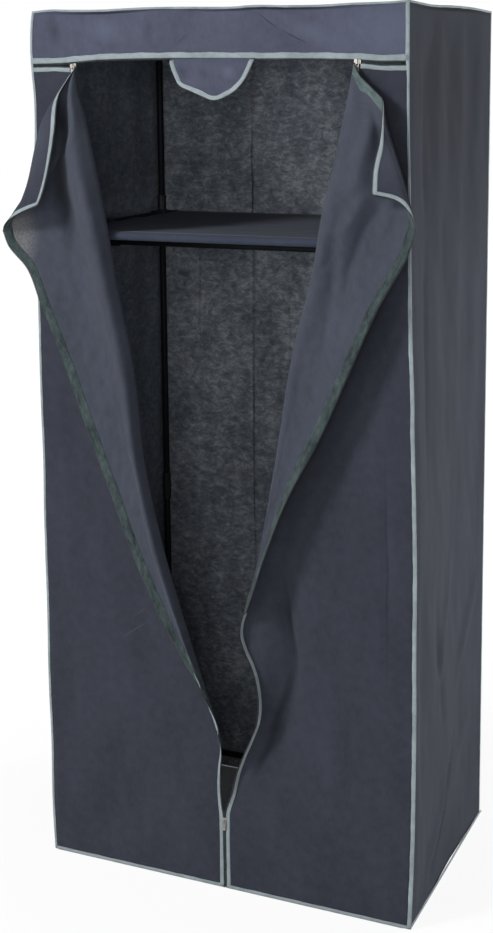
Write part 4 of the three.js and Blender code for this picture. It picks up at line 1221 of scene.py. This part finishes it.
def headerCloth():
    look = headerShape
    head = coverTop - look["below"]
    heights = np.linspace(head, headerFoot, look["rows"])[:, None]
    across = np.linspace(0, 1, look["columns"])[None, :]
    left, right = (side * (halfWidth - look["inset"] + bulgeAt(side, heights)) for side in (-1, 1))
    x = left + (right - left) * across
    rise = tuple(headerFoot + band for band in look["footBand"])
    fall = tuple(coverTop - band for band in look["topBand"])
    hold = held(across, *look["acrossHold"]) * held(heights, rise, fall)
    waves = look["puff"] + softWaves(x, heights, headerLayers)
    y = frontY - hold * (waves + creases(x, heights, headerCreases))
    z = heights + curveAt(footRise, x) * (head - heights) / (head - headerFoot)
    grid = np.stack([x, y, z], -1)
    flat = np.stack([x, heights + 0 * across], -1)
    piece = clothPiece("header_cloth", [(lifted(grid), flat)], [headerOutsidePaintedLight, insideFeltPaintedLight])
    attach(piece, "root")
    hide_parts("header_valance")
    return piece


topShape = {"rows": 50, "columns": 70, "inset": 0.4, "slack": 5.0, "wave": (1.2, 160, 140, 1.0),
            "acrossHold": ((0.03, 0.3), (0.7, 0.97)), "downHold": ((0.04, 0.35), (0.65, 0.96))}


def topCloth():
    inset = topShape["inset"]
    down = np.linspace(0, 1, topShape["rows"])[:, None]
    across = np.linspace(0, 1, topShape["columns"])[None, :]
    x = -halfWidth + inset + (2 * halfWidth - 2 * inset) * across + 0 * down
    y = halfDepth - inset - (2 * halfDepth - 2 * inset) * down + 0 * across
    inside = held(across, *topShape["acrossHold"]) * held(down, *topShape["downHold"])
    z = coverTop - clothHalf - inside * (topShape["slack"] + softWaves(x, y, [topShape["wave"]]))
    grid = np.stack([x, y, z], -1)
    flat = grid[..., :2]
    piece = clothPiece("top_cloth", [(lifted(grid), flat)], [coverOutside, insideFeltPaintedLight])
    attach(piece, "root")
    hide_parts("top_panel")
    return piece


leftSide, rightSide, backCloth = sideWall(-1), sideWall(1), backWall()
header, topSheet = headerCloth(), topCloth()
print("stage: walls made")

# Widths of a seam's binding on its first face and on its second
seamSizes = {"top": (2.8, 3.5), "rear": (4.0, 4.0), "hem": (5.0, 1.2), -1: (3.8, 1.6), 1: (5.0, 1.6)}
seamDrop = 1.0  # the hem's binding stands this far below the cloth's edge
seamStep, closedStep = 9.0, 5.0
seamRows = 190
frontWidths = {-1: [(0, 1), (1600, 1)],
               1: [(0, 1.25), (1100, 1.1), (1240, 0.6), (1480, 0.6), (1525, 1.1), (1600, 1.1)]}


def corded(wide, narrow):
    # Each pair is how far inward on the first face and how far off it
    return [(wide, -0.2), (wide, 0.5), (wide - 0.7, 0.8), (1.6, 0.95), (0, 0.9), (-0.7, 0.7), (-0.9, 0),
            (-0.95, -0.9), (-0.8, 0.5 - narrow), (-0.5, -narrow), (0.3, -narrow), (0.35, -0.35)]


def alongAll(way, spine):
    # The same direction for every station of a line
    return np.repeat(np.asarray(way, float)[None], len(spine), 0)


def seamBinding(name, spine, first, second, size, widths=None):
    spine = lifted(spine)
    piece = sweep(name, spine, alongAll(first, spine), -alongAll(second, spine), corded(*seamSizes[size]),
                  bindingFinish, widths)
    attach(piece, "root")
    return piece


def between(a, b, step=seamStep):
    a, b = np.asarray(a, float), np.asarray(b, float)
    count = int(np.linalg.norm(b - a) / step) + 2
    return a + (b - a) * np.linspace(0, 1, count)[:, None]


w, d = halfWidth, halfDepth
hem = hemHeight - seamDrop
for side, label in ((-1, "left"), (1, "right")):
    heights = np.linspace(coverTop, hemHeight, seamRows)
    edge = side * (w + bulgeAt(side, heights))
    spine = np.stack([edge, np.full_like(edge, -d), heights], -1)
    table = np.array(frontWidths[side])
    seamBinding(f"front_{label}_binding", spine, (-side, 0, 0), (0, 1, 0), side,
                np.interp(heights, table[:, 0], table[:, 1]))
    spine = between((side * w, d, coverTop), (side * w, d, hemHeight))
    seamBinding(f"rear_{label}_binding", spine, (0, -1, 0), (-side, 0, 0), "rear")
    spine = between((side * w, -d, coverTop), (side * w, d, coverTop))
    seamBinding(f"top_{label}_binding", spine, (0, 0, -1), (-side, 0, 0), "top")
    spine = between((side * w, -d, hem), (side * w, d, hem))
    spine[:, 0] += side * bulgeAt(side, [hemHeight])[0] * (1 - np.linspace(0, 1, len(spine)))
    seamBinding(f"hem_{label}_binding", spine, (0, 0, 1), (-side, 0, 0), "hem")
for y, label in ((-d, "front"), (d, "rear")):
    spine = between((-w, y, coverTop), (w, y, coverTop))
    seamBinding(f"top_{label}_binding", spine, (0, 0, -1), (0, -np.sign(y), 0), "top")
seamBinding("hem_rear_binding", between((-w, d, hem), (w, d, hem)), (0, 0, 1), (0, -1, 0), "hem")
for door in (leftDoor, rightDoor):
    outer = door["side"] * (w + bulgeAt(door["side"], [hemHeight])[0])
    spine = between((outer, -d, hem), (zipAcross(door), -d, hem))
    seamBinding(f"hem_{door['name']}_door_binding", spine, (0, 0, 1), (0, 1, 0), "hem")


def zipEdge(label, spine, up, section, seam, widths=None):
    # Binding outside, zip tape behind, teeth past the edge, stitches on the binding
    inward, off = alongAll((0, 0, up), spine), alongAll((0, -1, 0), spine)
    into, out = seam
    stitchLine = spine + inward * into + off * out
    made = [sweep(f"{label}_binding", spine, inward, off, section, bindingFinish, widths),
            sweep(f"{label}_tape", spine, inward, off, tapeSection, zipTapeFinish),
            beadRow(f"{label}_teeth", [(spine - inward * teethOut, off)], teethSize, teethFinish),
            beadRow(f"{label}_stitches", [(stitchLine, off)], stitchSize, threadFinish)]
    for piece in made:
        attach(piece, "root")
    return made


# The header's edge, its binding wider and fuller than the doors'
headerEdge = {"width": 1.3, "fuller": 0.55, "outerFrom": 0.5}
ends = [side * (w + bulgeAt(side, [headerFoot])[0]) for side in (-1, 1)]
spine = between((ends[0], frontY, headerFoot), (ends[1], frontY, headerFoot))
spine[:, 2] += curveAt(footRise, spine[:, 0])
section = [(a, b + headerEdge["fuller"] if b > headerEdge["outerFrom"] else b) for a, b in bindingSection]
headerTrim = zipEdge("header", spine, 1, section, (seamAt["headerInto"], seamAt["headerOff"]),
                     np.full(len(spine), headerEdge["width"]))

# The closed ends of the top zips: the door's top edge from the side seam to the slider
for door, outer in zip((leftDoor, rightDoor), ends):
    spine = between((outer, frontY, doorHead), (door["zipEnd"], frontY, doorHead), closedStep)
    spine[:, 2] += stripRiseAt(door, spine[:, 0])
    zipEdge(door["name"] + "_closed", spine, -1, bindingSection, (seamAt["into"], seamAt["closedOff"]))
print("stage: bindings and zips made")


tab = {"outline": [(-78, 1518.5), (-73, 1504), (-66, 1487), (-59, 1474.5), (-36, 1464), (-14, 1455.5),
                   (5, 1448.5), (15, 1449), (29, 1454), (46, 1463), (62, 1478), (75, 1498), (81, 1511),
                   (83, 1518.5)],
       "rows": 24, "columns": 56, "forward": 8.0, "sewn": 1.0, "rollBand": 10, "wave": (1.4, 26, 30),
       "waveBand": (4, 50), "stitchIn": 5.8, "stitchOff": 1.05, "centreAbove": 4, "trimBelow": 0.5,
       "section": [(-0.9, 0.5), (-0.3, 1.05), (1, 1.15), (6.3, 1.0), (7, 0.4), (7, -0.4), (6.3, -1.0),
                   (1, -1.15), (-0.3, -1.05), (-0.9, -0.5)]}


def tabGridRows():
    # The half-round flap rolls forward from its sewn edge and hangs in one slow wave
    low = evenAlong(tab["outline"], np.linspace(0, 1, tab["columns"]))
    sewnHeight = tab["outline"][0][1]
    high, wide, tall = tab["wave"]
    rows = []
    for down in np.linspace(0, 1, tab["rows"]):
        z = sewnHeight + (low[:, 1] - sewnHeight) * down
        drop = sewnHeight - z
        forward = tab["sewn"] + (tab["forward"] - tab["sewn"]) * ease(drop, 0, tab["rollBand"])
        forward += high * np.sin(low[:, 0] / wide + drop / tall) * ease(drop, *tab["waveBand"])
        rows.append(onFront(np.stack([low[:, 0], z, forward], -1)))
    return np.stack(rows)


def tabTrim(grid, sewnHeight):
    # A binding folded round the outline, with a row of stitches on each face
    faces = normalsOf(grid)
    threads = tidyThreads([(grid[::-1, j], faces[::-1, j]) for j in range(grid.shape[1])],
                          threadShape["tabReach"])
    spine, off = threads["lines"][:, 0], threads["faces"][:, 0]
    inward = np.array([0, 0, sewnHeight + tab["centreAbove"]]) - spine
    inward[:, 1] = 0
    inward = unit(inward)
    clear = spine[:, 2] < sewnHeight - tab["trimBelow"]
    spine, inward, off = spine[clear], inward[clear], off[clear]
    seam, away = spine + inward * tab["stitchIn"], off * tab["stitchOff"]
    return [sweep("tab_binding", spine, inward, off, tab["section"], bindingFinish),
            beadRow("tab_stitches", [(seam + away, off), (seam - away, -off)], stitchSize, threadFinish)]


tabGrid = tabGridRows()
tabCloth = clothPiece("tab_cloth", [(tabGrid, tabGrid[:, :, [0, 2]])], [headerOutsidePaintedLight, insideFeltPaintedLight])
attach(tabCloth, "header_tab")
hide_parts("header_tab")
tabPieces = tabTrim(tabGrid, tab["outline"][0][1])
for piece in tabPieces:
    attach(piece, "header_tab")
print("stage: header tab made")


shelf = {"radius": 7.1, "wrap": 223.0, "wrapSteps": 14, "spanSteps": 40, "columns": 70, "sag": 5.0,
         "sagEase": 0.5, "wave": (0.8, 180, 90, 1.0), "hemIn": 11.0, "hemOff": 0.5}
shelfLow, shelfHigh = toInside("shelf_cloth")
tubeLow, tubeHigh = toInside("shelf_tube_front")
tubeY, tubeZ = ((tubeLow + tubeHigh) / 2)[1:]


def shelfProfile():
    # Round the front tube, straight across and round the rear tube: y and z
    steps, radius = shelf["wrapSteps"], shelf["radius"]
    turns = np.radians(shelf["wrap"] * np.arange(steps + 1) / steps)
    rear = np.stack([-tubeY + radius * np.sin(turns), tubeZ + radius * np.cos(turns)], -1)
    front = rear[::-1] * (-1, 1)
    shares = np.arange(1, shelf["spanSteps"]) / shelf["spanSteps"]
    span = np.stack([tubeY - 2 * tubeY * shares, np.full_like(shares, tubeZ + radius)], -1)
    return np.concatenate([front, span, rear])


profile = shelfProfile()
shelfX = np.linspace(shelfLow[0], shelfHigh[0], shelf["columns"])
grid = np.zeros((len(profile), len(shelfX), 3))
grid[..., 0] = shelfX[None, :]
grid[..., 1] = profile[:, :1]
grid[..., 2] = profile[:, 1:]
deep = (1 - (np.abs(profile[:, 0]) / abs(tubeY)) ** 2).clip(0, 1)[:, None]
broad = np.sin(np.linspace(0, math.pi, len(shelfX)))[None, :] ** shelf["sagEase"]
grid[..., 2] -= deep * (shelf["sag"] * broad + softWaves(grid[..., 0], grid[..., 1], [shelf["wave"]]))
shelfFlat = np.stack([grid[..., 0], np.repeat(lengthAlong(profile)[:, None], len(shelfX), 1)], -1)
shelfSheet = clothPiece("shelf_sheet", [(grid[::-1], shelfFlat[::-1])], [shelfFinish, shelfFinish])
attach(shelfSheet, "root")
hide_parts("shelf_cloth")
shelfHem = []
for y, sense in ((tubeY, 1), (-tubeY, -1)):
    hemY = np.full_like(shelfX, y + sense * shelf["hemIn"])
    line = np.stack([shelfX, hemY, np.full_like(shelfX, tubeZ + shelf["radius"] + shelf["hemOff"])], -1)
    line[:, 2] -= (1 - ((abs(tubeY) - shelf["hemIn"]) / abs(tubeY)) ** 2) * shelf["sag"] * broad[0]
    shelfHem.append((line, alongAll((0, 0, 1), line)))
shelfStitches = beadRow("shelf_stitches", shelfHem, stitchSize, threadFinish)
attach(shelfStitches, "root")
print("stage: shelf made")


# Each pair at a tube's end is how far along it and past its radius: the bore, the cut face, the edge
steelTube = {"radius": 6.5, "sides": 28, "sharp": 35, "weld": 0.001,
             "end": [(0.5, -0.6), (0.15, -0.4), (0, -0.3), (0.12, -0.1), (0.4, 0)]}


def lathePoints(profile, axis, origin, sides=steelTube["sides"]):
    # A closed round shape: profile pairs are how far along the axis and how wide
    points = []
    for along, radius in profile:
        for k in range(sides):
            turn = 2 * math.pi * k / sides
            spot = np.array(origin, float)
            spot[(axis + 1) % 3] += radius * math.cos(turn)
            spot[(axis + 2) % 3] += radius * math.sin(turn)
            spot[axis] += along
            points.append(spot)
    return points, bandFaces(len(profile), sides)


def steelPiece(name):
    low, high = toInside(name)
    axis = int(np.argmax(high - low))
    origin = (low + high) / 2
    origin[axis] = low[axis]
    length = high[axis] - low[axis]
    end = [(along, steelTube["radius"] + inset) for along, inset in steelTube["end"]]
    profile = end + [(length - along, radius) for along, radius in end[::-1]] + [end[0]]
    points, faces = lathePoints(profile, axis, origin)
    piece = makeMesh(name + "_smooth", points, faces, [steel], weld=steelTube["weld"])
    faceOutward(piece)
    piece.data.set_sharp_from_angle(angle=math.radians(steelTube["sharp"]))
    return piece


for name in list(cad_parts):
    if ("_post_" in name and "coupler" not in name) or "_tube_" in name or name == "hanging_rail":
        piece = steelPiece(name)
        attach(piece, "root")
        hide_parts(name)


def recoated(words, finish):
    for name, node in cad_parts.items():
        if any(word in name for word in words):
            for slot in node.material_slots:
                slot.material = finish


recoated(("_connector_", "post_coupler", "rail_holder"), moulding)
recoated(("_slider", "_pull"), zinc)
print("stage: frame made")


pale = {"reach": 14.0, "colour": (0.9, 0.9, 0.9, 1), "rough": 0.9, "brightness": 1.06, "glow": 0.84,
        "fade": (0.5, 1.7), "rearMargin": 20.0}


def floorFinish(name):
    # A pale floor that meets the white background and keeps a soft shadow; under the cover it stays plain
    finish = Finish(name)
    plain = finish.shader.outputs[0]
    finish.done(pale["colour"], pale["rough"], Specular_IOR_Level=0.0)
    place = finish.place()
    parts = finish.node("ShaderNodeSeparateXYZ", {0: place}).outputs
    outside = []
    margin = pale["rearMargin"]
    for axis, half, shift in ((0, halfWidth, 0), (1, halfDepth + margin / 2, margin / 2)):
        away = finish.math("SUBTRACT", parts[axis], middle[axis] + shift * mm)
        outside.append(finish.math("GREATER_THAN", finish.math("ABSOLUTE", away), half * mm))
    gap = finish.node("ShaderNodeVectorMath", {0: place, 1: tuple(middle)},
                      operation="DISTANCE").outputs["Value"]
    level = finish.math("MULTIPLY", finish.math("MAXIMUM", *outside),
                        finish.span(gap, *pale["fade"], pale["glow"], 1.0))
    seen = finish.node("ShaderNodeLightPath").outputs["Is Camera Ray"]
    white = finish.node("ShaderNodeEmission", {"Strength": pale["brightness"]}).outputs[0]
    choose = finish.node("ShaderNodeMixShader", {0: finish.math("MULTIPLY", seen, level), 1: plain, 2: white})
    finish.give(finish.tree.nodes["Material Output"].inputs["Surface"], choose.outputs[0])
    return finish.material


reach = pale["reach"]
floorMesh = bpy.data.meshes.new("floor")
floorCorners = [(-reach, -reach, 0), (reach, -reach, 0), (reach, reach, 0), (-reach, reach, 0)]
floorMesh.from_pydata(floorCorners, [], [(0, 1, 2, 3)])
floorMesh.materials.append(floorFinish("paleFloor"))
floor = bpy.data.objects.new("floor", floorMesh)
bpy.context.scene.collection.objects.link(floor)

# White where the camera looks past everything, a dimmer daylight for what it lights
daylight = {"colour": (0.97, 0.98, 1.0, 1), "strength": 0.17}
world = bpy.data.worlds.new("studio")
bpy.context.scene.world = world
world.use_nodes = True
sky = NodeTree(world.node_tree)
ambient = world.node_tree.nodes["Background"]
sky.give(ambient.inputs["Color"], daylight["colour"])
sky.give(ambient.inputs["Strength"], daylight["strength"])
white = sky.node("ShaderNodeBackground", {"Color": (1, 1, 1, 1), "Strength": 1.0})
rays = sky.node("ShaderNodeLightPath").outputs
direct = sky.math("MAXIMUM", rays["Is Camera Ray"], rays["Is Glossy Ray"])
seen = sky.math("MAXIMUM", direct, rays["Is Transmission Ray"])
choose = sky.node("ShaderNodeMixShader", {0: seen, 1: ambient.outputs[0], 2: white.outputs[0]})
sky.give(world.node_tree.nodes["World Output"].inputs["Surface"], choose.outputs[0])


def softBox(name, place, target, size, power):
    light = bpy.data.lights.new(name, "AREA")
    light.shape = "RECTANGLE"
    light.size, light.size_y = size
    light.energy = power
    lamp = bpy.data.objects.new(name, light)
    lamp.location = place
    lamp.rotation_euler = (Vector(target) - Vector(place)).to_track_quat("-Z", "Y").to_euler()
    bpy.context.scene.collection.objects.link(lamp)
    return lamp


# Place, what it faces, size and watts
lamps = {"keyLight": ((-2.03, -2.9, 3.3), (0, 0, 0.9), (0.8, 0.8), 102),
         "leftLight": ((-1.2, -3.6, 1.5), (0, 0.1, 0.8), (1.1, 1.1), 15),
         "frontLight": ((1.3, -3.6, 1.6), (0, 0.1, 0.8), (1.1, 1.1), 18),
         "sideLight": ((2.4, 1.8, 0.9), (0.3, 0, 0.7), (1.0, 1.0), 54)}
for name, settings in lamps.items():
    softBox(name, *settings)

# Degrees, metres, and the focal length and centre in pixels of a frame this large
cameraView = {"turn": 24.956, "rise": 9.093, "roll": -0.554, "place": (1.1939, -2.6074, 1.4772),
              "focal": 1548.45, "centre": (246.5, 330.0), "frame": (493, 933), "sensor": 36.0}
turn, rise = math.radians(cameraView["turn"]), math.radians(cameraView["rise"])
backward = Vector((math.sin(turn) * math.cos(rise), -math.cos(turn) * math.cos(rise), math.sin(rise)))
toRight = (-backward).cross(Vector((0, 0, 1))).normalized()
toUp = toRight.cross(-backward).normalized()
roll = math.radians(cameraView["roll"])
right = toRight * math.cos(roll) + toUp * math.sin(roll)
up = toUp * math.cos(roll) - toRight * math.sin(roll)
lens = bpy.data.cameras.new("camera")
lens.sensor_width = cameraView["sensor"]
longSide = max(cameraView["frame"])
lens.lens = cameraView["focal"] * lens.sensor_width / longSide
lens.shift_x = (cameraView["frame"][0] / 2 - cameraView["centre"][0]) / longSide
lens.shift_y = (cameraView["centre"][1] - cameraView["frame"][1] / 2) / longSide
camera = bpy.data.objects.new("camera", lens)
camera.matrix_world = Matrix([(right.x, up.x, backward.x, cameraView["place"][0]),
                              (right.y, up.y, backward.y, cameraView["place"][1]),
                              (right.z, up.z, backward.z, cameraView["place"][2]),
                              (0, 0, 0, 1)])
bpy.context.scene.collection.objects.link(camera)
bpy.context.scene.camera = camera
bpy.context.scene.view_settings.view_transform = "Standard"
print("stage: stage made")
